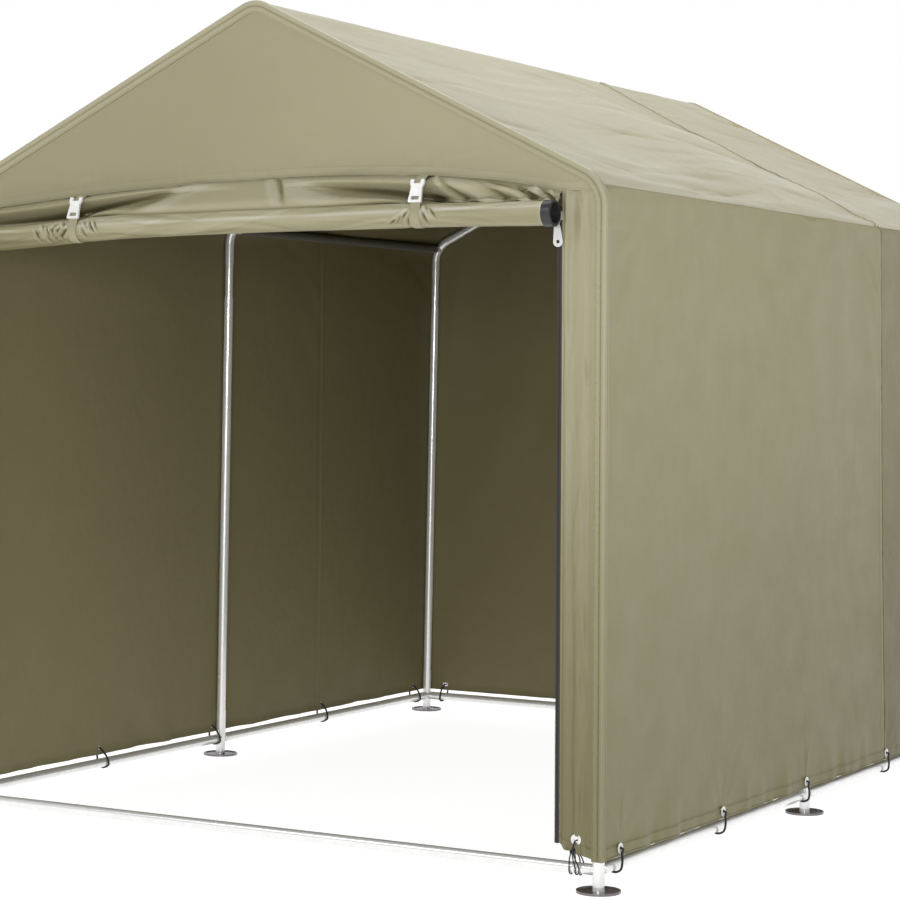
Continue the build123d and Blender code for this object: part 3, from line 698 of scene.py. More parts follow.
def gable():
    """The front gable, from its stitched hem up under the binding."""
    rng = random.Random(51)
    reach = float(outline_x(STRIP_TOP, 0.010))
    x = lines(-reach, reach, 0.0075, [(-reach, -reach + 0.03, 0.004), (reach - 0.03, reach, 0.004)])
    hem = np.array([0.0, 0.0016, 0.0036, 0.0056, 0.009, 0.013, 0.017, 0.0195, 0.0215, 0.0235, 0.028])
    rise = np.linspace(0, 1, 60)[1:]
    low = hem_z(x)
    high = outline_z(x, 0.006)
    squeeze = np.minimum(1, (high - low) / 0.05)
    lower = low + hem[:, None] * squeeze
    upper = lower[-1] + (high - lower[-1]) * rise[:, None]
    z = np.concatenate([lower, upper])
    z = z[: len(z) - 1 + len(z) % 2]
    z[-1] = high
    x = np.broadcast_to(x, z.shape)
    up = z - low
    band = smooth((0.0225 - up) / 0.002)
    rows = sum(bell(up - row, 0.0012) for row in GABLE_ROWS)
    shape = 0.0007 * band - 0.0005 * rows
    shape += pucker(rng, x, up - 0.02, 0.019, 0.020, 0.0010)
    shape += pucker(rng, x, up, 0.045, 0.055, 0.0014)
    edge = high - z
    shape += pucker(rng, x, edge, 0.020, 0.045, 0.0011) + pucker(rng, x, edge, 0.060, 0.11, 0.0014)
    shape += many_folds(rng, x, z, 16, ((-0.8, 0.8), (1.54, 1.85)), ACROSS, 0.25,
                        (0.10, 0.30), (0.03, 0.08), (0.0008, 0.0020))
    shape += many_folds(rng, x, z, 22, ((-0.85, 0.85), (1.53, 1.60)), 0.05, 0.10,
                        (0.04, 0.14), (0.006, 0.012), (0.0006, 0.0014))
    for place in STRAP_X:
        for lean in (-0.9, -0.35, 0.3, 0.85):
            centre = (place + 0.05 * math.sin(lean), float(hem_z(place)) + 0.02 + 0.045 * math.cos(lean))
            shape += fold(x, z, centre, math.pi / 2 - lean, 0.05, 0.007, 0.0016 * (-1) ** (lean > 0), tip=2)
    shape = shape * smooth((edge - 0.016) / 0.030) - 0.0008 * smooth((0.034 - edge) / 0.010)
    points = np.stack([x, FRONT - shape, z], axis=2)
    seam_rows("front", points, up, GABLE_ROWS, turn=True)
    # Painted shade along the stitch rows and towards the left, and painted highlight on the hem band
    tone = 0.10 * rows - 0.05 * band + 0.02 + 0.16 * smooth((0.6 - x) / 0.9)
    piece = cloth_shell("gable_cloth", points, cut_sheet(x, z), tone, turn=True)
    hang(piece, "gable_front", (2 * reach, float(high.max() - low.min())),
         ["rafter_front_left", "rafter_front_right"], area=float(np.trapz(high - low, x[0])))


def strip(name, side):
    """The cloth beside the doorway, with soft folds down its length."""
    rng = random.Random(71 + side)
    top = min(STRIP_TOP, float(hem_z(side * DOOR_HALF)))
    hem = np.array([0, 0.0018, 0.0045, 0.008, 0.012, 0.016, 0.020, 0.0225, 0.025, 0.028, 0.034, 0.038])
    hem = np.concatenate([hem, np.arange(0.0405, 0.0485, 0.0025)])
    up = np.concatenate([hem, np.arange(0.056, top + 0.010 - HEM_Z, 0.009)])
    if len(up) % 2 == 0:
        up = np.append(up, up[-1] + 0.003)
    share = lines(0, 1, 0.036, [(0.0, 0.12, 0.02), (0.36, 0.62, 0.028)])
    inner = doorway_edge(HEM_Z + up)[:, None]
    outer = outline_x(HEM_Z + up, 0.006)[:, None]
    lift = STRIP_LIFT * (1 - share) + 0.010 * smooth((0.16 - share) / 0.16)
    height = HEM_Z + up[:, None] + lift * (1 - up[:, None] / up[-1]) ** 6
    x = inner + (outer - inner) * share
    place = x - inner
    up = np.broadcast_to(up[:, None], x.shape)
    shape = np.zeros_like(x)
    for centre, width, deep, phase in STRIP_FOLDS:
        drift = 0.004 * np.sin(height * 3.1 + phase) + 0.002 * np.sin(height * 9.3 + 2 * phase)
        strength = 0.70 + 0.30 * np.sin(height * 4.3 + 3 * phase)
        shape += deep * strength * bell(place - centre - drift, width)
    shape += many_folds(rng, place, height, 44, ((0, 0.09), (0.1, 1.5)), ACROSS, 0.06,
                        (0.06, 0.22), (0.003, 0.006), (0.0008, 0.0020))
    shape += pucker(rng, height, place, 0.016, 0.012, 0.0010)
    shape += pucker(rng, place, up, 0.024, 0.040, 0.0026)
    shape += pucker(rng, place, top - height, 0.020, 0.030, 0.0010)
    shape *= smooth((place + 0.004) / 0.010)
    shape -= 0.0035 * smooth((height - top + 0.004) / 0.008)
    edge = outer - x
    shape = shape * smooth((edge - 0.014) / 0.022) - 0.0010 * smooth((0.034 - edge) / 0.010)
    rows = bell(place - 0.0065, 0.0012) + bell(up - STRIP_ROW, 0.0014)
    shape += 0.0010 * smooth((0.0245 - up) / 0.002) - 0.0008 * rows
    points = np.stack([side * x, FRONT - shape, height], axis=2)
    keep = tie_holes(place + inner, height, [(STRIP_TIE[0], STRIP_TIE[1])], 0.0080)
    # Painted shade along the stitch rows and towards the ground, over a slight darkening all over
    tone = 0.30 * rows + STRIP_TONE + STRIP_LOW_SHADE * smooth(1 - up / LOW_SHADE_RISE)
    piece = cloth_shell(f"front_strip_{name}_cloth", points, cut_sheet(x, height), tone, keep,
                        turn=side > 0)
    seam_rows("strips", points[:, ::side], up[:, ::side], (STRIP_ROW,), turn=side > 0)
    hang(piece, f"front_strip_{name}", (float((outer - inner).mean()), float(up[-1, 0] - up[0, 0])),
         [f"post_front_{name}"])


def back_panel():
    """The back of the cover, in one piece from hem to ridge."""
    rng = random.Random(91)
    near_ties = [(place / 0.91 - 0.013, place / 0.91 + 0.013, 0.0035) for place in BACK_TIES]
    across = lines(-1, 1, 0.0145, near_ties)
    hem = np.array(HEM_LINES)
    low_x = float(outline_x(HEM_Z, 0.006))
    top_x = float(outline_x(STRIP_TOP, 0.010))
    top = outline_z(across * top_x, 0.006)
    rise = np.linspace(0, 1, 132)[1:]
    z = np.concatenate([np.broadcast_to(HEM_Z + hem[:, None], (len(hem), len(across))),
                        HEM_Z + hem[-1] + (top - HEM_Z - hem[-1]) * rise[:, None]])
    z = z[1 - len(z) % 2:]
    z[0] = HEM_Z
    x = across * (low_x - (low_x - top_x) * np.clip((z - HEM_Z) / (STRIP_TOP - HEM_Z), 0, 1))
    up = z - HEM_Z
    edge = np.minimum(top - z, (low_x - np.abs(x)))
    shape = 0.006 * np.sin(math.pi * np.clip(up / 1.5, 0, 1)) * np.cos(math.pi * x / 2)
    shape += many_folds(rng, x, z, 30, ((-0.85, 0.85), (0.2, 1.6)), ACROSS, 0.30,
                        (0.15, 0.50), (0.03, 0.08), (0.0010, 0.0030))
    shape += pucker(rng, x, up, 0.085, 0.06, 0.0030) + pucker(rng, x + z, edge, 0.020, 0.035, 0.0012)
    rows = bell(up - HEM_ROWS[1], 0.0014)
    shape += 0.0010 * smooth((0.030 - up) / 0.003) - 0.0008 * rows
    points = np.stack([x, REAR + shape, z], axis=2)
    seam_rows("rear", points, up, HEM_ROWS)
    keep = tie_holes(x, z, [(place, TIE_Z) for place in BACK_TIES], 0.0085)
    # Painted shade along the stitch row and towards the ground
    tone = 0.35 * rows + BACK_LOW_SHADE * smooth(1 - up / LOW_SHADE_RISE)
    piece = cloth_shell("back_cloth", points, cut_sheet(x, z), tone, keep, lining=LINING_SHADE["back"])
    hang(piece, "back_panel", (2 * low_x, float(top.max() - HEM_Z)),
         ["post_rear_left", "post_rear_right"], area=float(np.trapz(top - HEM_Z, x[-1])))


def swept(name, path, ways, profile, tones, wave, start, out):
    """A closed profile of cloth, swept along a path in X and Z. A profile point is (out from the
    path, out from the panel's face at start), and wave wrinkles the second of these. out is the way
    that the panel faces along Y."""
    deep = profile[:, 1] + wave
    x = path[:, None, 0] + ways[:, None, 0] * profile[:, 0]
    z = path[:, None, 1] + ways[:, None, 1] * profile[:, 0]
    points = np.stack([x, start + out * deep, z], axis=2)
    faces = ring_faces(*deep.shape)
    if out > 0:
        faces = [face[::-1] for face in faces]
    piece = add_mesh(name, points.reshape(-1, 3), faces, [MATERIALS["cloth"]])
    flat = cut_sheet(np.broadcast_to(run_of(path)[:, None], deep.shape),
                     np.broadcast_to(profile[:, 0] + profile[:, 1], deep.shape))
    add_vectors(piece, "flat", flat.reshape(-1, 3))
    add_values(piece, "tone", np.broadcast_to(tones, deep.shape).ravel())


# Binding round the cover's edges: (out from the outline, out from the face, tone), where the tone
# is painted shade in its grooves and painted highlight on its crests. Two of its places carry
# stitches
BINDING = (
    (-0.0262, -0.0010, 0.3), (-0.0260, 0.0012, 0.2), (-0.0242, 0.0020, -0.05), (-0.0224, 0.0014, 0.25),
    (-0.0206, 0.0021, -0.05), (-0.0165, 0.0026, 0.0), (-0.0128, 0.0023, 0.05), (-0.0108, 0.0012, 0.45),
    (-0.0092, 0.0018, 0.1), (-0.0072, 0.0030, 0.0), (-0.0036, 0.0037, -0.05), (0.0002, 0.0030, -0.1),
    (0.0024, 0.0006, -0.1), (0.0030, -0.0026, -0.1), (0.0020, -0.0064, 0.05), (0.0008, -0.0086, 0.4),
    (0.0012, -0.0105, 0.05), (0.0014, -0.0140, 0.0), (0.0008, -0.0172, 0.0), (-0.0034, -0.0186, 0.0),
    (-0.0050, -0.0120, 0.1), (-0.0050, -0.0050, 0.4), (-0.0130, -0.0022, 0.4),
)
BINDING_ROWS = ((-0.0224, 0.0014), (-0.0108, 0.0012))
BINDING_FRONT = 0.0006


def binding(name, start, out):
    """The bound and piped edge of the cover, over the walls and the roof from hem to hem."""
    rng = random.Random(101 + int(out))
    stations = np.concatenate([
        np.linspace(0, 1, 310)[:-1], np.linspace(1, 2, 26)[:-1], np.linspace(2, 3, 190)[:-1],
        np.linspace(3, 4, 10),
    ])
    at, way = section(stations, RIB_SHAPE)
    mirrored = np.array([-1.0, 1.0])
    path = np.concatenate([at, (at * mirrored)[-2::-1]])
    ways = np.concatenate([way, (way * mirrored)[-2::-1]])
    profile = np.array(BINDING)
    along, across = run_of(path)[:, None], profile[:, 0]
    wave = 0.0011 * ripple(rng, along + 0.3 * across, 0.017) * bell(across + 0.018, 0.008)
    wave = wave + 0.0008 * ripple(rng, along - 0.4 * across, 0.011) * bell(across + 0.010, 0.005)
    wave *= profile[:, 1] > BINDING_FRONT
    # Painted shade in the profile's grooves and towards the ground, and painted highlight on its crests
    tones = profile[:, 2] + BINDING_LOW_SHADE * smooth(1 - (path[:, 1:] - HEM_Z) / LOW_SHADE_RISE)
    swept(name, path, ways, profile, tones, wave, start, out)
    facing_out = np.tile((0.0, out, 0.0), (len(path), 1))
    for reach, rise in BINDING_ROWS:
        row = path + ways * reach
        at = np.stack([row[:, 0], np.full(len(row), start + out * rise), row[:, 1]], axis=1)
        SEAMS.setdefault("front" if out < 0 else "rear", []).append((at, facing_out))


# Rolled door

# How much the pole rises to the right, for each metre
POLE_RISE = (ROLL_BOX[1].z - ROLL_BOX[0].z - 2 * CAP_R) / (ROLL_BOX[1].x - ROLL_BOX[0].x)

# Grid lines down the loose cloth, over the roll's front, and over its back
FLAP_ROWS = 37
FRONT_ROWS = 64
BACK_ROWS = 20

# The loose cloth across the doorway: X, then its fold's reach, its fold's and its groove's place
# down from the hem, how far the groove stands out, and where the cloth meets the roll, in degrees
LOOSE = (
    (-0.84, 0.004, 0.36, 0.86, 0.004, 150), (-0.80, 0.004, 0.36, 0.86, 0.004, 150),
    (-0.76, 0.044, 0.36, 0.86, 0.014, 150), (-0.68, 0.047, 0.36, 0.86, 0.008, 150),
    (-0.56, 0.046, 0.36, 0.84, 0.000, 148), (-0.47, 0.043, 0.32, 0.76, -0.004, 120),
    (-0.40, 0.041, 0.27, 0.62, 0.000, 88), (-0.32, 0.036, 0.21, 0.47, 0.006, 70),
    (-0.24, 0.027, 0.16, 0.36, 0.014, 62), (-0.14, 0.020, 0.16, 0.36, 0.024, 60),
    (0.02, 0.018, 0.17, 0.36, 0.029, 60), (0.13, 0.021, 0.18, 0.38, 0.028, 60),
    (0.22, 0.036, 0.21, 0.47, 0.014, 64), (0.31, 0.043, 0.25, 0.55, 0.006, 72),
    (0.40, 0.044, 0.28, 0.66, 0.000, 92), (0.46, 0.043, 0.30, 0.78, -0.002, 140),
    (0.52, 0.047, 0.32, 0.86, 0.012, 150), (0.60, 0.046, 0.36, 0.86, 0.026, 146),
    (0.68, 0.045, 0.36, 0.86, 0.030, 146), (0.76, 0.040, 0.36, 0.80, 0.024, 150),
    (0.80, 0.004, 0.36, 0.80, 0.004, 150), (0.84, 0.004, 0.36, 0.80, 0.004, 150),
)


def roll_z(x):
    """Height of the roll's middle across the front: on its pole, but sagging to the left."""
    pole = ROLL_Z + POLE_RISE * x
    lift = 0.0095 * (1 - (x / ROLL_HALF) ** 2) - 0.0105 * smooth((-x - 0.30) / 0.42)
    return pole + lift * smooth((ROLL_HALF + 0.015 - np.abs(x)) / 0.08)


def near_straps(x, reach):
    """1 at a strap, and 0 away from them."""
    return sum(bell(x - place, reach, 4) for place in STRAP_X)


def roll_radius(x):
    """The roll is a little thicker to the left, and drawn in under its straps."""
    right, left = smooth((x - 0.30) / 0.30), smooth((-x - 0.20) / 0.40)
    return 0.0280 - 0.0014 * right + 0.0010 * left - 0.0014 * near_straps(x, 0.022)


def loose_row(x, column):
    """A measure of the loose cloth at each X, eased from one place to the next."""
    places = [row[0] for row in LOOSE]
    values = [row[column] for row in LOOSE]
    return np.mean([np.interp(x + step, places, values) for step in np.linspace(-0.03, 0.03, 7)], axis=0)


def door_profile(x):
    """Y and Z of the door at each X: the loose cloth from the hem to the roll, then one turn of it."""
    centre, radius, hem = roll_z(x), roll_radius(x), hem_z(x)
    gap = hem - centre - radius
    reach, fold_at, groove_at, groove_out, meets = (loose_row(x, column) for column in range(1, 6))
    touch = np.radians(meets)
    low_at = groove_at + (1 - groove_at) * 0.62
    open_low = smooth((130 - meets) / 50)
    low_out = (groove_out + 0.012) * (1 - open_low) + (0.051 - 0.012 * (1 - low_at)) * open_low
    hull = near_straps(x, 0.030)
    reach = reach + (0.0395 - reach) * hull
    controls = np.array([
        (-0.0035 + 0 * x, hem + 0.006),
        (0.0020 + 0 * x, hem - 0.0030),
        (0.62 * reach, hem - gap * fold_at * 0.30 - 0.002),
        (reach, hem - gap * fold_at),
        (0.42 * reach + 0.58 * groove_out, hem - gap * (0.42 * fold_at + 0.58 * groove_at)),
        (groove_out, hem - gap * groove_at),
        (low_out, hem - gap * low_at),
        (ROLL_OUT + radius * np.cos(touch), centre + radius * np.sin(touch)),
    ]).transpose(0, 2, 1)
    loose = spline(controls, FLAP_ROWS)
    turned_by = [np.linspace(0, 190, FRONT_ROWS + 1)[1:], np.linspace(190, 352, BACK_ROWS + 1)[1:]]
    turned_by = np.concatenate(turned_by)
    turn = touch - np.radians(turned_by)[:, None]
    size = radius * (1 - 0.05 * smooth(np.linspace(-6, 1, len(turned_by))))[:, None]
    wound = np.stack([ROLL_OUT + size * np.cos(turn), centre + size * np.sin(turn)], axis=2)
    profile = np.concatenate([loose, wound])
    profile[..., 0] = FRONT - profile[..., 0]
    return profile, touch * radius


# Creases of the loose cloth: X and the share of the way down from the hem to the roll, then the
# angle below level, length, width and height of each
CREASES = (
    ((0.092, 0.40), 46, 0.034, 0.0052, -0.0062), ((0.074, 0.48), 46, 0.036, 0.0080, 0.0040),
    ((-0.13, 0.22), -6, 0.060, 0.006, 0.0028), ((-0.20, 0.55), -22, 0.070, 0.012, 0.0032),
    ((-0.28, 0.72), -14, 0.080, 0.009, -0.0030), ((0.16, 0.60), 14, 0.070, 0.012, 0.0030),
    ((0.505, 0.26), 40, 0.024, 0.0050, 0.0050), ((0.516, 0.84), 8, 0.034, 0.0045, -0.0090),
    ((0.535, 0.44), 24, 0.034, 0.0048, -0.0046), ((0.545, 0.62), 18, 0.040, 0.0070, 0.0050),
    ((0.600, 0.56), 15, 0.105, 0.0080, 0.0060), ((0.585, 0.78), 14, 0.090, 0.0050, -0.0070),
    ((0.575, 0.38), 12, 0.060, 0.0050, -0.0040), ((0.665, 0.26), 15, 0.060, 0.0056, -0.0100),
    ((0.700, 0.50), 20, 0.072, 0.0060, 0.0066), ((0.690, 0.74), 17, 0.060, 0.0042, -0.0060),
    ((0.735, 0.56), 32, 0.036, 0.0054, -0.0105), ((0.756, 0.42), 36, 0.032, 0.0052, 0.0062),
    ((0.776, 0.46), 44, 0.022, 0.0045, -0.0060), ((0.790, 0.50), 48, 0.022, 0.0045, 0.0050),
)
# The height, in metres, that the whole way from the hem to the roll stands for there
LOOSE_HEIGHT = 0.055
# Petals drawn out on the roll by the straps: X from the strap, the drop below the roll's front line,
# and the angle below level
PETALS = (
    (-0.028, 0.000, 128), (-0.040, 0.006, 138), (-0.053, 0.011, 148), (0.027, -0.002, 55),
    (0.040, 0.004, 52), (-0.020, 0.013, 112), (0.021, 0.014, 66),
)
# More of them in a zigzag left of the left strap, with X itself
ZIGZAG = (
    (-0.560, -0.006, 60), (-0.545, 0.004, 62), (-0.530, -0.007, 128), (-0.527, 0.012, 60),
    (-0.514, 0.000, 124), (-0.508, 0.014, 62), (-0.500, -0.009, 58), (-0.497, 0.008, 122),
    (-0.574, 0.012, 60), (-0.544, 0.018, 64),
)


def door_folds(x, front, down):
    """Wrinkles of the loose cloth and of the roll. front is the distance round the roll from its
    front line, and down the share of the way from the hem to the roll."""
    loose = np.zeros_like(x)
    for centre, angle, length, width, rise in CREASES:
        place = (centre[0], centre[1] * LOOSE_HEIGHT)
        loose += fold(x, down * LOOSE_HEIGHT, place, math.radians(angle), length, width, rise, tip=2)
    rng = random.Random(121)
    wound = many_folds(rng, x, front, 70, ((-0.78, 0.78), (-0.04, 0.05)), 0.0, 0.05,
                       (0.06, 0.22), (0.0030, 0.0065), (0.0003, 0.0008))
    right, left = STRAP_X[1], STRAP_X[0] + 0.002
    marks = [(right + off, drop, lean, 1.0) for off, drop, lean in PETALS]
    marks += [(left + off * (1.25 if off > 0 else 0.8), drop, lean, 0.8) for off, drop, lean in PETALS]
    marks += [(left + off, -0.002, 58, 0.9) for off in (0.048, 0.060)]
    marks += [(place, drop, lean, 0.85) for place, drop, lean in ZIGZAG]
    for place, drop, lean, size in marks:
        turn = math.radians(lean + rng.gauss(0, 3))
        wound += fold(x, front, (place, drop), turn, 0.0135, 0.0034, 0.0052 * size, tip=2)
        beside = (place + 0.0056 * math.sin(turn), drop - 0.0056 * math.cos(turn))
        wound += fold(x, front, beside, turn, 0.0135, 0.0026, -0.0040 * size, tip=2)
    return loose, wound * (1 - near_straps(x, 0.0150))


def rolled_door():
    """The door, hanging from the gable's hem and wound up round its pole."""
    edge = doorway_edge(STRIP_TOP) - 0.001
    left, right = STRAP_X
    near_left, near_right = (left - 0.125, left + 0.085, 0.0019), (right - 0.07, right + 0.085, 0.0019)
    near = [near_left, (0.03, 0.13, 0.0030), near_right, (right + 0.085, edge, 0.0032)]
    x = lines(-edge, edge, 0.0048, near)
    profile, front_at = door_profile(x)
    profile = profile[: len(profile) - 1 + len(profile) % 2]
    row = np.arange(len(profile))[:, None]
    across = x * (1 - (1 - ROLL_HALF / edge) * smooth((row - FLAP_ROWS + 2) / 7))
    base = np.stack([across, profile[..., 0], profile[..., 1]], axis=2)
    steps = np.linalg.norm(np.diff(base, axis=0), axis=2)
    around = np.concatenate([np.zeros((1, len(x))), np.cumsum(steps, axis=0)])
    down = np.clip(around / around[FLAP_ROWS - 1], 0, 1)
    around = around - around[FLAP_ROWS - 1]
    loose, wound = door_folds(across, around - front_at, down)
    loose *= smooth(-around / 0.008) * smooth((down - 0.08) / 0.12)
    wound *= smooth((around + 0.002) / 0.006)
    normals = grid_normals(base)
    under = base + normals * loose[..., None]
    points = under + normals * wound[..., None]
    rolled, from_front = around > 0, around - front_at
    # Painted shade in the crevice where the cloth meets the roll, in the recess under the loose cloth's
    # fold, to the roll's left, under the roll and in the hollows of the folds; painted highlight along the
    # roll's upper front and on the folds' ridges; the selvedge at the roll's end is lighter
    crevice_shade = bell(around, 0.0035)
    recess_shade = smooth((0.022 - (FRONT - base[..., 1])) / 0.026) * smooth((down - 0.30) / 0.15) * (around <= 0)
    selvedge = smooth((across - ROLL_HALF + 0.006) / 0.002) * rolled
    tone = 0.40 * crevice_shade - 0.22 * selvedge + 0.85 * recess_shade + ROLL_LEFT_SHADE * smooth((-across - 0.30) / 0.45)
    underside_shade, highlight = smooth((from_front - 0.002) / 0.022), bell(from_front + 0.0045, 0.0042)
    tone += (0.22 * underside_shade - 0.27 * highlight) * rolled
    tone += 0.75 * np.clip(-loose / 0.007, -0.12, 1) + 0.65 * np.clip(-wound / 0.0032, -0.25, 1)
    depth = 0.0016 + 0.0030 * smooth(around / 0.012)
    piece = cloth_shell("rolled_door_cloth", points, cut_sheet(across, around), tone,
                        thickness=depth[..., None], under=under)
    wind(piece)
    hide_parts("rolled_door")


def wind(piece):
    """Adds the turns of cloth inside the roll, as one closed sheet."""
    turns, per_turn = 10, 28
    angle = np.linspace(0, turns * 2 * math.pi, turns * per_turn + 1)
    radius = 0.0134 + (0.0220 - 0.0134) * angle / angle[-1]
    x = np.linspace(-ROLL_HALF + 0.001, ROLL_HALF - 0.001, 13)
    verts = []
    for offset in (0.0, -0.0005):
        for place in x:
            for turn, size in zip(angle, radius + offset):
                height = float(roll_z(place)) + size * math.sin(turn)
                verts.append((place, ROLL_Y - size * math.cos(turn), height))
    index = np.arange(len(verts)).reshape(2, len(x), len(angle))
    faces = quads(index[0]).reshape(-1, 4).tolist() + quads(index[1]).reshape(-1, 4)[:, ::-1].tolist()
    rim = [(index[:, i, 0], index[:, i + 1, 0]) for i in range(len(x) - 1)]
    rim += [(index[:, i + 1, -1], index[:, i, -1]) for i in range(len(x) - 1)]
    rim += [(index[:, 0, j + 1], index[:, 0, j]) for j in range(len(angle) - 1)]
    rim += [(index[:, -1, j], index[:, -1, j + 1]) for j in range(len(angle) - 1)]
    faces += [[int(b[0]), int(a[0]), int(a[1]), int(b[1])] for a, b in rim]
    inner = bpy.data.meshes.new("winding")
    inner.from_pydata(verts, [], faces)
    join_mesh(piece, inner)


def join_mesh(piece, mesh):
    """Adds another mesh to a piece's own, with the piece's second material."""
    shape = bmesh.new()
    shape.from_mesh(piece.data)
    before = len(shape.faces)
    shape.from_mesh(mesh)
    shape.faces.ensure_lookup_table()
    for face in shape.faces[before:]:
        face.material_index = 1
        face.smooth = True
    shape.to_mesh(piece.data)
    shape.free()
    bpy.data.meshes.remove(mesh)


# Small parts


def cord_loop(points, count, radius, sides=8):
    """Points and faces of a closed cord through a few points."""
    path = spline(points, count, closed=True)
    ahead = np.roll(path, -1, axis=0) - np.roll(path, 1, axis=0)
    ahead /= np.linalg.norm(ahead, axis=1, keepdims=True)
    turn = np.linspace(0, 2 * math.pi, sides, endpoint=False)[:, None]
    side = np.cross(ahead[0], (0.31, 0.92, 0.23))
    verts = []
    for point, way in zip(path, ahead):
        side = side - way * (side @ way)
        side /= np.linalg.norm(side)
        verts.append(point + radius * (np.cos(turn) * side + np.sin(turn) * np.cross(way, side)))
    return np.concatenate(verts), ring_faces(count, sides, closed=True, flip=True)


def add_parts(name, parts, finish, node=None):
    """Several (points, faces) as one piece, in a CAD node's place where that is given."""
    verts, faces, start = [], [], 0
    for points, polygons in parts:
        verts.append(np.asarray(points, float))
        faces += [[number + start for number in face] for face in polygons]
        start += len(points)
    piece = add_mesh(name, np.concatenate(verts), faces, [MATERIALS[finish]])
    if node:
        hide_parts(node)


def spline(points, count, closed=False):
    """A smooth run of points through a few, by Catmull and Rom's rule."""
    points = np.asarray(points, float)
    size = len(points)
    spans = size if closed else size - 1
    result = []
    for place in np.linspace(0, spans, count, endpoint=not closed):
        i = min(int(place), spans - 1)
        t = place - i
        if closed:
            a, b, c, d = (points[(i + k) % size] for k in (-1, 0, 1, 2))
        else:
            a, b, c, d = (points[min(max(i + k, 0), size - 1)] for k in (-1, 0, 1, 2))
        result.append(0.5 * (2 * b + (c - a) * t + (2 * a - 5 * b + 4 * c - d) * t * t
                             + (3 * b - a - 3 * c + d) * t**3))
    return np.array(result)


# Stitching

SEAMS = {}


def line_on(points, values, level):
    """Points of a grid where a value that rises down each column reaches a level."""
    return np.array([[np.interp(level, values[:, j], points[:, j, k]) for k in range(3)]
                     for j in range(points.shape[1])])


def seam_rows(group, points, values, levels, turn=False, down=True):
    """Keeps the places of stitch rows on a grid, for stitches() to sew."""
    normals = grid_normals(points) * (-1 if turn else 1)
    if not down:
        points, normals, values = (np.swapaxes(item, 0, 1) for item in (points, normals, values))
    for level in levels:
        row = (line_on(points, values, level), line_on(normals, values, level))
        SEAMS.setdefault(group, []).append(row)


# A stitch: how far apart they are, its length, its width and how high it stands, and its faces
STITCH_PITCH, STITCH_LENGTH, STITCH_WIDTH, STITCH_RISE = 0.0052, 0.0036, 0.00075, 0.00045
STITCH_FACES = ((0, 3, 1), (0, 2, 3), (1, 3, 6, 4), (3, 2, 5, 6), (4, 6, 7), (6, 5, 7))


def stitches(name, rows):
    """Rows of single stitches, each a low ridge of thread."""
    parts = []
    for path, out in rows:
        along = run_of(path)
        starts = np.arange(0.004, along[-1] - 0.006, STITCH_PITCH)

        def at(values, places):
            return np.stack([np.interp(places, along, values[:, k]) for k in range(3)], axis=1)

        first, last = at(path, starts), at(path, starts + STITCH_LENGTH)
        up = at(out, starts + STITCH_LENGTH / 2)
        up /= np.linalg.norm(up, axis=1, keepdims=True)
        side = np.cross(last - first, up)
        side *= STITCH_WIDTH / 2 / np.linalg.norm(side, axis=1, keepdims=True)
        low = -0.0003 * up
        points = [first + low]
        for place in ((first * 3 + last) / 4, (first + last * 3) / 4):
            points += [place + side + low, place - side + low, place + STITCH_RISE * up]
        points = np.stack([*points, last + low], axis=1)
        base = np.arange(len(starts))[:, None] * 8
        faces = [face for numbers in STITCH_FACES for face in (np.array(numbers) + base).tolist()]
        parts.append((points.reshape(-1, 3), faces))
    add_parts(name, parts, "thread")


# Straps, zips and ties


def ribbon(path, outs, half, thickness, cross=9):
    """A flat band along a path, across X, with cross lines over its width and rounded edges."""
    place = np.linspace(-1, 1, cross)
    rise = thickness / 2 * (0.35 + 0.65 * np.sqrt(np.maximum(1 - np.abs(place) ** 8, 0)))[:, None]
    top = half * place[:, None] * np.array((1.0, 0.0, 0.0))
    rows = [np.concatenate([point + top + out * rise, (point + top - out * rise)[::-1]])
            for point, out in zip(path, outs)]
    rows = np.array(rows)
    return rows.reshape(-1, 3), ring_faces(*rows.shape[:2])


def strap_path(x):
    """Y and Z of a strap: out from under the gable's hem, over the fold, round the roll and up behind."""
    place = np.array([x])
    hem, radius = float(hem_z(x)), float(roll_radius(place)[0]) + 0.0016
    centre = np.array([ROLL_OUT, float(roll_z(x))])
    gap = hem - ROLL_Z - POLE_RISE * x - 0.027
    fold_at = np.array([0.0432, hem - 0.0085 - gap / 8])
    span = np.linalg.norm(centre - fold_at)
    angle = math.atan2(*(centre - fold_at)[::-1])
    lean = math.asin(radius / span)
    run = math.sqrt(span**2 - radius**2)
    touch = fold_at + run * np.array([math.cos(angle + lean), math.sin(angle + lean)])
    start = math.atan2(*(touch - centre)[::-1])
    turns = np.linspace(start, start - 1.16 * math.pi, 44)
    ring = centre + radius * np.stack([np.cos(turns), np.sin(turns)], axis=1)
    hung = spline([(-0.0030, hem + 0.004), (0.0040, hem - 0.0014), (0.0240, hem - 0.0030), fold_at], 16)
    down = fold_at + (touch - fold_at) * np.linspace(0, 1, 14)[1:-1, None]
    up = ring[-1] + (np.array([-0.0180, hem + 0.002]) - ring[-1]) * np.linspace(0, 1, 10)[1:, None]
    path = np.concatenate([hung, down, ring, up])
    path[:, 0] = FRONT - path[:, 0]
    return path


def straps():
    """The two webbing straps that hold the rolled door."""
    parts = []
    for x in STRAP_X:
        path = strap_path(x)
        path = np.stack([np.full(len(path), x), path[:, 0], path[:, 1]], axis=1)
        ahead = np.gradient(path, axis=0)
        ahead /= np.linalg.norm(ahead, axis=1, keepdims=True)
        outs = np.cross(ahead, (1.0, 0.0, 0.0))
        parts.append(ribbon(path, outs, STRAP_HALF, STRAP_THICK))
    add_parts("strap_webbing", parts, "strap", "roll_straps")


TAPE_HALF, TAPE_THICK = 0.0050, 0.0010

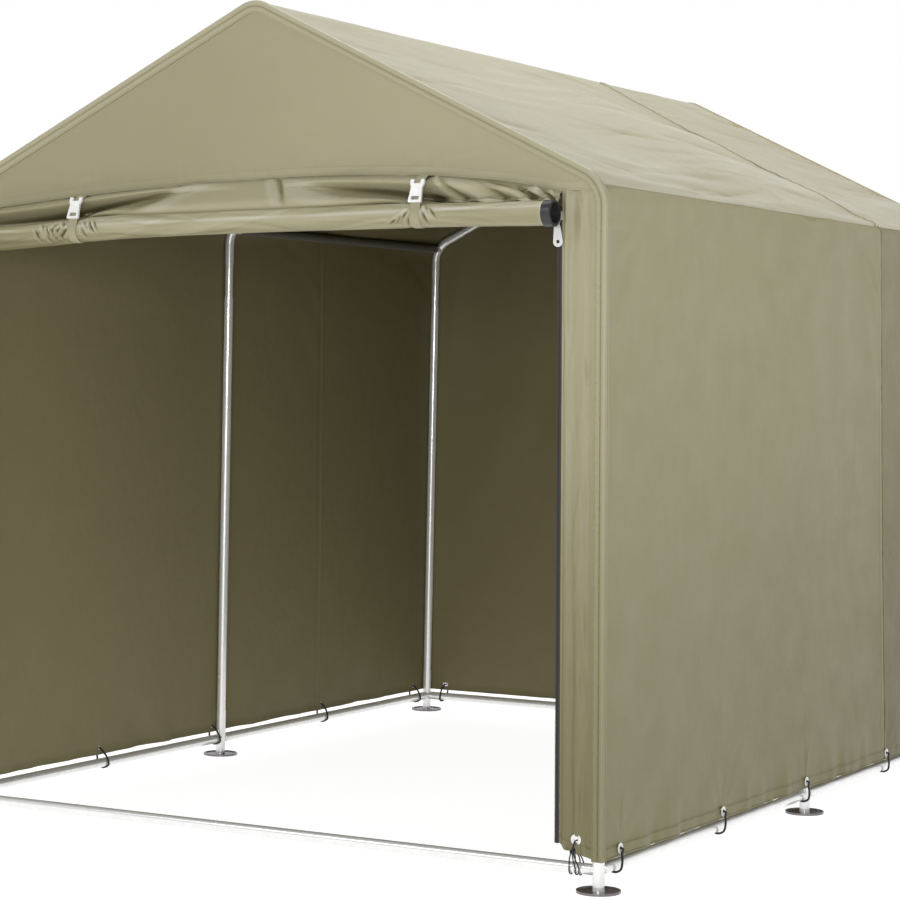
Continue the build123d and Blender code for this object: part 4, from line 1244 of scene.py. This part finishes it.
# A tooth of the zip: a block with its lower front edge drawn back
TOOTH = (0.0052, 0.0032, 0.0016)
TOOTH_SLOPE = 0.0008
TOOTH_PITCH = 0.0026
BLOCK_FACES = ((0, 3, 2, 1), (4, 5, 6, 7), (0, 1, 5, 4), (2, 3, 7, 6), (1, 2, 6, 5), (0, 4, 7, 3))


def zip_sides():
    """The zip's tape, with a line of teeth on its free edge, on both sides of the doorway."""
    tape_low, tape_high = (corner.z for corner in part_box("zip_tapes"))
    tape_parts, tooth_parts = [], []
    z = np.arange(tape_low, tape_high, 0.012)
    outs = np.tile((0.0, -1.0, 0.0), (len(z), 1))
    for side in SIDES.values():
        path = np.stack([side * (doorway_edge(z) - 0.0054), np.full_like(z, FRONT + 0.0010), z], axis=1)
        tape_parts.append(ribbon(path, outs, TAPE_HALF, TAPE_THICK, 5))
        for height in np.arange(tape_low + 0.002, tape_high - 0.001, TOOTH_PITCH):
            x0 = side * (doorway_edge(height) - 0.0088) - TOOTH[0] / 2
            y0, z0 = FRONT - 0.0010, height - TOOTH[2] / 2
            x1, y1, z1 = x0 + TOOTH[0], y0 + TOOTH[1], z0 + TOOTH[2]
            corners = [(x0, y0 + TOOTH_SLOPE, z0), (x1, y0 + TOOTH_SLOPE, z0), (x1, y1, z0), (x0, y1, z0)]
            corners += [(x0, y0, z1), (x1, y0, z1), (x1, y1, z1), (x0, y1, z1)]
            tooth_parts.append((corners, BLOCK_FACES))
    add_parts("zip_tape_cloth", tape_parts, "zip_tape", "zip_tapes")
    add_parts("zip_teeth", tooth_parts, "zip_teeth")


def knot_ball(centre, radius):
    """A lumpy little knot of cord."""
    turn = np.linspace(0, 2 * math.pi, 30, endpoint=False)
    lumps = [0.62 * np.cos(2 * turn), 0.55 * np.sin(3 * turn), 0.75 * np.sin(2 * turn + 0.4)]
    path = np.array(centre) + radius * np.stack(lumps, axis=1)
    return cord_loop(path, 60, 0.45 * radius)


def side_tie(side, y, lean, belly):
    """Points of a cord from a wall's grommet, out over the hem and round the base rail."""
    cloth, rail, rail_low = POST_X - TIE_Z * math.tan(LEAN) + CLOTH_OUT, RAIL.x, RAIL.z - PIPE_R - 0.0028
    loop = [
        (cloth - 0.008, 0.0, TIE_Z - 0.001), (cloth + 0.006, 0.001, TIE_Z - 0.001),
        (cloth + belly * 0.75, 0.3 * lean, TIE_Z - 0.010),
        (cloth + belly, 0.7 * lean, TIE_Z - 0.026), (cloth + belly * 0.5, lean, RAIL.z - 0.008),
        (rail + 0.004, lean, rail_low + 0.0002), (rail - PIPE_R - 0.001, lean, RAIL.z - 0.008),
        (rail - PIPE_R - 0.0022, 0.8 * lean, RAIL.z + 0.004), (rail - 0.008, 0.4 * lean, RAIL.z + 0.020),
    ]
    return [(side * px, y + py, pz) for px, py, pz in loop]


def back_tie(x, lean):
    """The same at the rear."""
    rail = RIBS[2]
    return [
        (x, REAR - 0.008, TIE_Z - 0.001), (x, REAR + 0.006, TIE_Z - 0.001),
        (x + 0.3 * lean, REAR + 0.016, TIE_Z - 0.012), (x + 0.7 * lean, REAR + 0.019, TIE_Z - 0.028),
        (x + lean, REAR + 0.010, RAIL.z - 0.008), (x + lean, rail + 0.004, RAIL.z - PIPE_R - 0.0028),
        (x + lean, rail - PIPE_R - 0.001, RAIL.z - 0.008), (x + 0.6 * lean, rail - 0.008, RAIL.z + 0.020),
    ]


def strip_tie(side):
    """A loop through a front strip's grommet to a knot, and three more from there round the front rail."""
    x, z = side * STRIP_TIE[0], STRIP_TIE[1]
    knot = (x - side * 0.004, FRONT - 0.009, z - 0.024)
    parts = [cord_loop([
        (x, FRONT + 0.010, z - 0.003), (x, FRONT - 0.006, z - 0.003),
        (x - side * 0.001, FRONT - 0.011, z - 0.012), knot,
        (knot[0] - 0.003, knot[1] + 0.006, knot[2] - 0.001), (x - side * 0.003, FRONT + 0.012, z - 0.020),
    ], 40, 0.0017), knot_ball(knot, 0.0052)]
    front, back = RIBS[0] - PIPE_R, RIBS[0] + PIPE_R
    for offset in (-0.013, 0.001, 0.010):
        foot = knot[0] + offset
        parts.append(cord_loop([
            (knot[0] + 0.1 * offset, knot[1] - 0.001, knot[2]),
            (knot[0] + 0.55 * offset, FRONT - 0.008, z - 0.040),
            (foot, front - 0.0022, RAIL.z + 0.004), (foot, front - 0.0006, RAIL.z - 0.008),
            (foot, RIBS[0] - 0.002, RAIL.z - PIPE_R - 0.0016), (foot, back + 0.0010, RAIL.z - 0.005),
            (foot, back + 0.0016, RAIL.z + 0.004), (knot[0] + 0.6 * offset, RIBS[0] + 0.004, z - 0.038),
            (knot[0] + 0.2 * offset, knot[1] + 0.005, knot[2] - 0.002),
        ], TIE_POINTS, 0.0015, 7))
    return parts


def ties():
    """Elastic cords through the grommets and round the base rails."""
    rng = random.Random(141)
    parts = []
    for side in SIDES.values():
        for y in SIDE_TIES:
            lean = rng.uniform(-0.012, 0.012)
            parts.append(cord_loop(side_tie(side, y, lean, rng.uniform(0.0055, 0.009)), TIE_POINTS, TIE_R))
    for side in SIDES.values():
        parts += strip_tie(side)
    for x in BACK_TIES:
        parts.append(cord_loop(back_tie(x, rng.uniform(-0.010, 0.010)), TIE_POINTS, TIE_R))
    add_parts("elastic_ties", parts, "elastic", "hem_ties")


# Materials


class Shader:
    """A material being wired: short calls for the nodes that this script uses."""

    def __init__(self, name, roughness, **sockets):
        self.material = bpy.data.materials.new(name)
        self.material.use_nodes = True
        self.nodes = self.material.node_tree.nodes
        self.links = self.material.node_tree.links
        self.surface = self.nodes["Principled BSDF"]
        self.surface.inputs["Roughness"].default_value = roughness
        for socket, value in sockets.items():
            self.surface.inputs[socket.replace("_", " ")].default_value = value

    def add(self, kind, inputs=None, **settings):
        node = self.nodes.new(kind)
        for key, value in settings.items():
            setattr(node, key, value)
        for key, value in (inputs or {}).items():
            if isinstance(value, bpy.types.NodeSocket):
                self.links.new(value, node.inputs[key])
            else:
                node.inputs[key].default_value = value
        return node

    def attribute(self, name):
        return self.add("ShaderNodeAttribute", attribute_name=name)

    def own_place(self):
        """The object's own coordinates."""
        return self.add("ShaderNodeTexCoord").outputs["Object"]

    def place(self, source, scale=(1, 1, 1), turn=(0, 0, 0)):
        """The coordinates, scaled and turned."""
        inputs = {"Vector": source, "Scale": scale, "Rotation": turn}
        return self.add("ShaderNodeMapping", inputs).outputs[0]

    def noise(self, source, scale, detail=3.0, rough=0.5):
        inputs = {"Vector": source, "Scale": scale, "Detail": detail, "Roughness": rough}
        return self.add("ShaderNodeTexNoise", inputs).outputs[0]

    def wave(self, source, pitch, direction="X"):
        """Bands a pitch apart, in metres."""
        inputs = {"Vector": source, "Scale": 2 * math.pi / 20 / pitch}
        return self.add("ShaderNodeTexWave", inputs, bands_direction=direction).outputs["Fac"]

    def math(self, kind, first, second=0.0, third=0.0):
        return self.add("ShaderNodeMath", {0: first, 1: second, 2: third}, operation=kind).outputs[0]

    def ramp(self, value, stops):
        """Colours against a value: stops are (place, colour)."""
        node = self.add("ShaderNodeValToRGB", {"Fac": value})
        marks = node.color_ramp.elements
        while len(marks) < len(stops):
            marks.new(0.5)
        for mark, (place, colour) in zip(marks, stops):
            mark.position = place
            mark.color = (*colour, 1.0)
        return node.outputs[0]

    def range(self, value, low, high, start=0.0, end=1.0):
        inputs = {"Value": value, "From Min": low, "From Max": high, "To Min": start, "To Max": end}
        return self.add("ShaderNodeMapRange", inputs).outputs[0]

    def bump(self, height, distance, strength, **under):
        inputs = {"Height": height, "Distance": distance, "Strength": strength, **under}
        return self.add("ShaderNodeBump", inputs).outputs[0]

    def finish(self, colour=None, normal=None, roughness=None):
        for socket, value in (("Base Color", colour), ("Normal", normal), ("Roughness", roughness)):
            if value is not None:
                self.links.new(value, self.surface.inputs[socket])
        return self.material


def scaled(colour, amount):
    """A colour made brighter or darker."""
    return tuple(min(1.0, channel * amount) for channel in colour)


def cloth_material(name, colour, roughness, worn=0.0, gleam=0.36):
    """Woven cloth with a coating. The pieces' flat attribute carries the cut sheet's own
    coordinates, so threads run true over every fold, and their tone attribute paints light and shade:
    above 0 it darkens seams, stitch lines, folds and low parts as painted shade, beside a few plain
    darkenings, and below 0 it lightens the cloth towards a greyer colour as painted sheen and highlight."""
    s = Shader(name, roughness, Specular_IOR_Level=gleam, Sheen_Weight=0.02, Sheen_Roughness=0.40)
    flat = s.attribute("flat").outputs["Vector"]
    tone = s.attribute("tone").outputs["Fac"]
    warp = s.wave(flat, 0.0011, "X")
    weft = s.wave(flat, 0.0011, "Y")
    threads = s.math("MAXIMUM", warp, weft)
    slubs = s.noise(s.place(flat, (260, 9, 1)), 1.0, 2.0)
    slubs_across = s.noise(s.place(flat, (9, 260, 1)), 1.0, 2.0)
    cloud = s.noise(flat, 2.6, 3.0, 0.55)
    crumple = s.noise(flat, 34.0, 3.0, 0.55)
    rub = s.noise(flat, 9.0, 3.0, 0.65)
    shade = tone
    for noise, amount in ((cloud, 0.06), (slubs, 0.03), (slubs_across, 0.03), (rub, 0.03 + worn)):
        shade = s.math("MULTIPLY_ADD", s.math("SUBTRACT", noise, 0.5), amount, shade)
    shade = s.math("MULTIPLY_ADD", s.math("SUBTRACT", 0.6, threads), 0.06, shade)
    # The ramp: a lighter, greyer colour for painted sheen below the cloth's own colour, and darker, deeper
    # colours for painted shade above it
    painted_sheen_colour = tuple(0.72 * channel + 0.275 for channel in colour)
    red, green, blue = colour
    deep = (0.52 * red, 0.50 * green, 0.38 * blue)
    marks = ((0.0, painted_sheen_colour), (1 / 3, colour), (2 / 3, deep), (1.0, scaled(deep, 0.40)))
    hue = s.ramp(s.range(shade, -0.5, 1.0), marks)
    folds = s.bump(crumple, 0.0016, 0.55)
    weave = s.bump(s.math("ADD", threads, s.math("MULTIPLY", slubs, 0.6)), 0.00016, 0.5, Normal=folds)
    gloss = s.range(rub, 0.3, 0.7, roughness - 0.05, roughness + 0.07)
    return s.finish(hue, weave, gloss)


def coated_metal(name, colour, roughness, speck=0.03, **sockets):
    """Powder-coated or plated metal: a faint orange-peel skin, handling marks and dust low down."""
    s = Shader(name, roughness, **sockets)
    place = s.own_place()
    peel = s.noise(place, 900.0, 2.0)
    marks = s.noise(place, 42.0, 6.0, 0.7)
    height = s.add("ShaderNodeSeparateXYZ", {0: place}).outputs[2]
    dust = s.math("MULTIPLY", s.range(height, 0.10, 0.0), s.range(marks, 0.35, 0.75))
    shade = s.math("ADD", s.range(marks, 0.3, 0.8, 0.0, speck * 3), s.math("MULTIPLY", dust, 0.35))
    hue = s.ramp(shade, ((0.0, colour), (0.5, scaled(colour, 0.80)), (1.0, scaled(colour, 0.5))))
    gloss = s.range(marks, 0.3, 0.75, roughness - 0.05, roughness + 0.10)
    return s.finish(hue, s.bump(peel, 0.00010, 0.35), gloss)


def moulded(name, colour, roughness):
    """Moulded plastic, with a fine matt grain and soft marks."""
    s = Shader(name, roughness, Specular_IOR_Level=0.5)
    place = s.own_place()
    grain = s.noise(place, 2600.0, 2.0)
    marks = s.noise(place, 70.0, 5.0, 0.65)
    hue = s.ramp(s.range(marks, 0.25, 0.8), ((0.0, scaled(colour, 1.05)), (1.0, scaled(colour, 0.88))))
    gloss = s.range(marks, 0.3, 0.75, roughness - 0.06, roughness + 0.08)
    return s.finish(hue, s.bump(grain, 0.00008, 0.4), gloss)


def webbing(name, colour, roughness, pitch):
    """Woven tape, with ribs across it and a twill between them."""
    s = Shader(name, roughness, Sheen_Weight=0.15, Sheen_Roughness=0.4)
    place = s.own_place()
    ribs = s.wave(place, pitch, "Z")
    twill = s.wave(s.place(place, (1, 1, 1), (0, math.radians(38), 0)), pitch * 0.7, "X")
    fuzz = s.noise(place, 1400.0, 3.0)
    weave = s.math("ADD", s.math("MULTIPLY", ribs, 0.6), s.math("MULTIPLY", twill, 0.4))
    shade = s.math("ADD", s.math("MULTIPLY", weave, 0.7), s.math("MULTIPLY", fuzz, 0.3))
    hue = s.ramp(shade, ((0.0, scaled(colour, 0.62)), (0.6, colour), (1.0, scaled(colour, 1.2))))
    return s.finish(hue, s.bump(weave, 0.0003, 0.7))


# Light that the floor gives out by itself, which keeps it almost white under the shelter
FLOOR_GLOW = 0.92


def floor_material():
    """Matt studio floor, almost white, with a trace of mottling."""
    s = Shader("studio_floor", 0.6, Specular_IOR_Level=0.2)
    place = s.own_place()
    cloud = s.noise(place, 0.8, 3.0)
    hue = s.ramp(s.range(cloud, 0.3, 0.7), ((0.0, (0.30, 0.30, 0.30)), (1.0, (0.32, 0.32, 0.32))))
    s.surface.inputs["Emission Color"].default_value = (1.0, 1.0, 1.0, 1.0)
    s.surface.inputs["Emission Strength"].default_value = FLOOR_GLOW
    return s.finish(hue)


OLIVE = (0.325, 0.300, 0.188)
# The lining's colour, far darker than the cloth's: painted shade inside the shelter
LINING = (0.196, 0.170, 0.083)
# The walls' cloth colour: the cover's olive with less blue, painted shade that gives the walls a deeper
# colour than the gable and the roof
SIDE_OLIVE_SHADED = (0.325, 0.300, 0.170)
MATERIALS = {
    "cloth": cloth_material("cover_cloth", OLIVE, 0.35),
    # The walls' copy of the cover cloth, in that painted-shade colour and with less gleam
    "side_cloth": cloth_material("cover_side_cloth_shaded", SIDE_OLIVE_SHADED, 0.42, gleam=0.24),
    # The lining, in that painted-shade colour
    "lining": cloth_material("cover_lining_shaded", LINING, 0.66, 0.04),
    "thread": moulded("sewing_thread", scaled(OLIVE, 0.95), 0.6),
    "frame": coated_metal("white_pipe", (0.88, 0.88, 0.87), 0.20, Metallic=0.45, Coat_Weight=0.5,
                          Coat_Roughness=0.08),
    # Darker copies of the white pipe paint for the rafters and the eave rails: painted shade, where the
    # pipes sit in the shadow under the roof
    "grey_frame": coated_metal("grey_pipe", (0.17, 0.16, 0.14), 0.30, Metallic=0.3),
    "shaded_frame": coated_metal("shaded_pipe", (0.095, 0.088, 0.075), 0.42),
    "foot_plate": coated_metal("foot_plate_metal", (0.20, 0.18, 0.19), 0.24, 0.05, Metallic=0.6),
    "cap": moulded("charcoal_plastic", (0.021, 0.020, 0.023), 0.36),
    "strap": webbing("olive_webbing", scaled(OLIVE, 0.98), 0.60, 0.0016),
    "buckle": moulded("white_plastic", (0.67, 0.67, 0.66), 0.26),
    "zip_tape": webbing("zip_tape_weave", (0.034, 0.029, 0.026), 0.7, 0.0010),
    "zip_teeth": moulded("zip_coil", (0.030, 0.026, 0.024), 0.38),
    "zip_metal": coated_metal("nickel_plate", (0.66, 0.66, 0.65), 0.24, 0.02, Metallic=0.5),
    "grommet": moulded("grommet_ring", (0.80, 0.80, 0.78), 0.30),
    "elastic": webbing("black_elastic", (0.014, 0.014, 0.016), 0.75, 0.0014),
}

CAD_FINISHES = {
    "foot_plates": "foot_plate", "roll_pole": "cap", "strap_buckles": "buckle", "zip_pulls": "zip_metal",
    "grommets": "grommet", "eave_rail_left": "shaded_frame", "eave_rail_right": "shaded_frame",
}


def finish_cad_nodes():
    """Gives every CAD node that stays its material."""
    for name, piece in nodes.items():
        # Rafters take the darker copy of the pipe paint, painted shade; the eave rails take the darkest one
        usual = "grey_frame" if name.startswith("rafter") else "frame"
        piece.data.materials.clear()
        piece.data.materials.append(MATERIALS[CAD_FINISHES.get(name, usual)])


# Studio

# The sky's brightness overhead, and how high up its white ends and this begins
SKY = 0.32
SKY_BAND = (0.17, 0.42)
FLOOR_REACH = 60.0

# Lamps: place, what each points at, width and height, and power in watts
LAMPS = {
    "overhead": ((0.4, 0.1, 5.5), (0.1, 0.0, 1.0), (3.0, 3.5), 195),
    "left_front": ((-2.9, -6.0, 4.6), (0.0, -1.2, 1.45), (3.0, 0.6), 75),
    "right_front": ((2.9, -7.2, 1.5), (0.0, -0.5, 0.9), (1.2, 1.0), 112),
}


def area_light(name, place, aim, size, power):
    """A soft white lamp."""
    data = bpy.data.lights.new(name, "AREA")
    data.shape = "RECTANGLE"
    data.size, data.size_y = size
    data.energy = power
    light = bpy.data.objects.new(name, data)
    light.location = place
    light.rotation_euler = (Vector(aim) - Vector(place)).to_track_quat("-Z", "Y").to_euler()
    bpy.context.scene.collection.objects.link(light)


def studio():
    """White surroundings that are dimmer overhead, an almost white floor, and three soft lamps."""
    world = bpy.data.worlds.new("studio_world")
    bpy.context.scene.world = world
    world.use_nodes = True
    tree = world.node_tree
    place = tree.nodes.new("ShaderNodeTexCoord")
    split = tree.nodes.new("ShaderNodeSeparateXYZ")
    ramp = tree.nodes.new("ShaderNodeValToRGB")
    tree.links.new(place.outputs["Generated"], split.inputs[0])
    tree.links.new(split.outputs[2], ramp.inputs["Fac"])
    tree.links.new(ramp.outputs[0], tree.nodes["Background"].inputs["Color"])
    for mark, position, grey in zip(ramp.color_ramp.elements, SKY_BAND, (1.0, SKY)):
        mark.position = position
        mark.color = (grey, grey, grey, 1.0)
    mesh = bpy.data.meshes.new("studio_floor")
    corners = [(FLOOR_REACH * x, FLOOR_REACH * y, 0) for x, y in ((-1, -1), (1, -1), (1, 1), (-1, 1))]
    mesh.from_pydata(corners, [], [(0, 1, 2, 3)])
    floor = bpy.data.objects.new("studio_floor", mesh)
    floor.data.materials.append(floor_material())
    bpy.context.scene.collection.objects.link(floor)
    for name, settings in LAMPS.items():
        area_light(name, *settings)


# Camera: place, turn to the left, tilt and roll in degrees, and focal length in millimetres
CAMERA_AT = (3.331, -6.22575, 1.123)
CAMERA_TURN = (29.16, -1.76, 0.74)
FOCAL_LENGTH = 103.96


def camera():
    """The photograph's viewpoint, solved from the shelter's straight edges."""
    data = bpy.data.cameras.new("camera")
    data.sensor_width = 36.0
    data.lens = FOCAL_LENGTH
    data.clip_end = 500.0
    view = bpy.data.objects.new("camera", data)
    yaw, pitch, roll = (math.radians(angle) for angle in CAMERA_TURN)
    ahead = Vector((-math.sin(yaw) * math.cos(pitch), math.cos(yaw) * math.cos(pitch), math.sin(pitch)))
    right = Vector((math.cos(yaw), math.sin(yaw), 0.0))
    up = right.cross(ahead)
    right, up = right * math.cos(roll) + up * math.sin(roll), up * math.cos(roll) - right * math.sin(roll)
    turn = Matrix((right, up, -ahead)).transposed()
    view.matrix_world = Matrix.Translation(CAMERA_AT) @ turn.to_4x4()
    bpy.context.scene.collection.objects.link(view)
    bpy.context.scene.camera = view


bpy.context.scene.view_settings.view_transform = "Standard"

finish_cad_nodes()
for name, side in SIDES.items():
    wall(name, side)
    roof(name, side)
    strip(name, side)
gable()
back_panel()
binding("front_binding", FRONT, -1.0)
binding("rear_binding", REAR, 1.0)
rolled_door()
for group, rows in SEAMS.items():
    stitches(f"{group}_stitching", rows)
straps()
zip_sides()
ties()
studio()
camera()
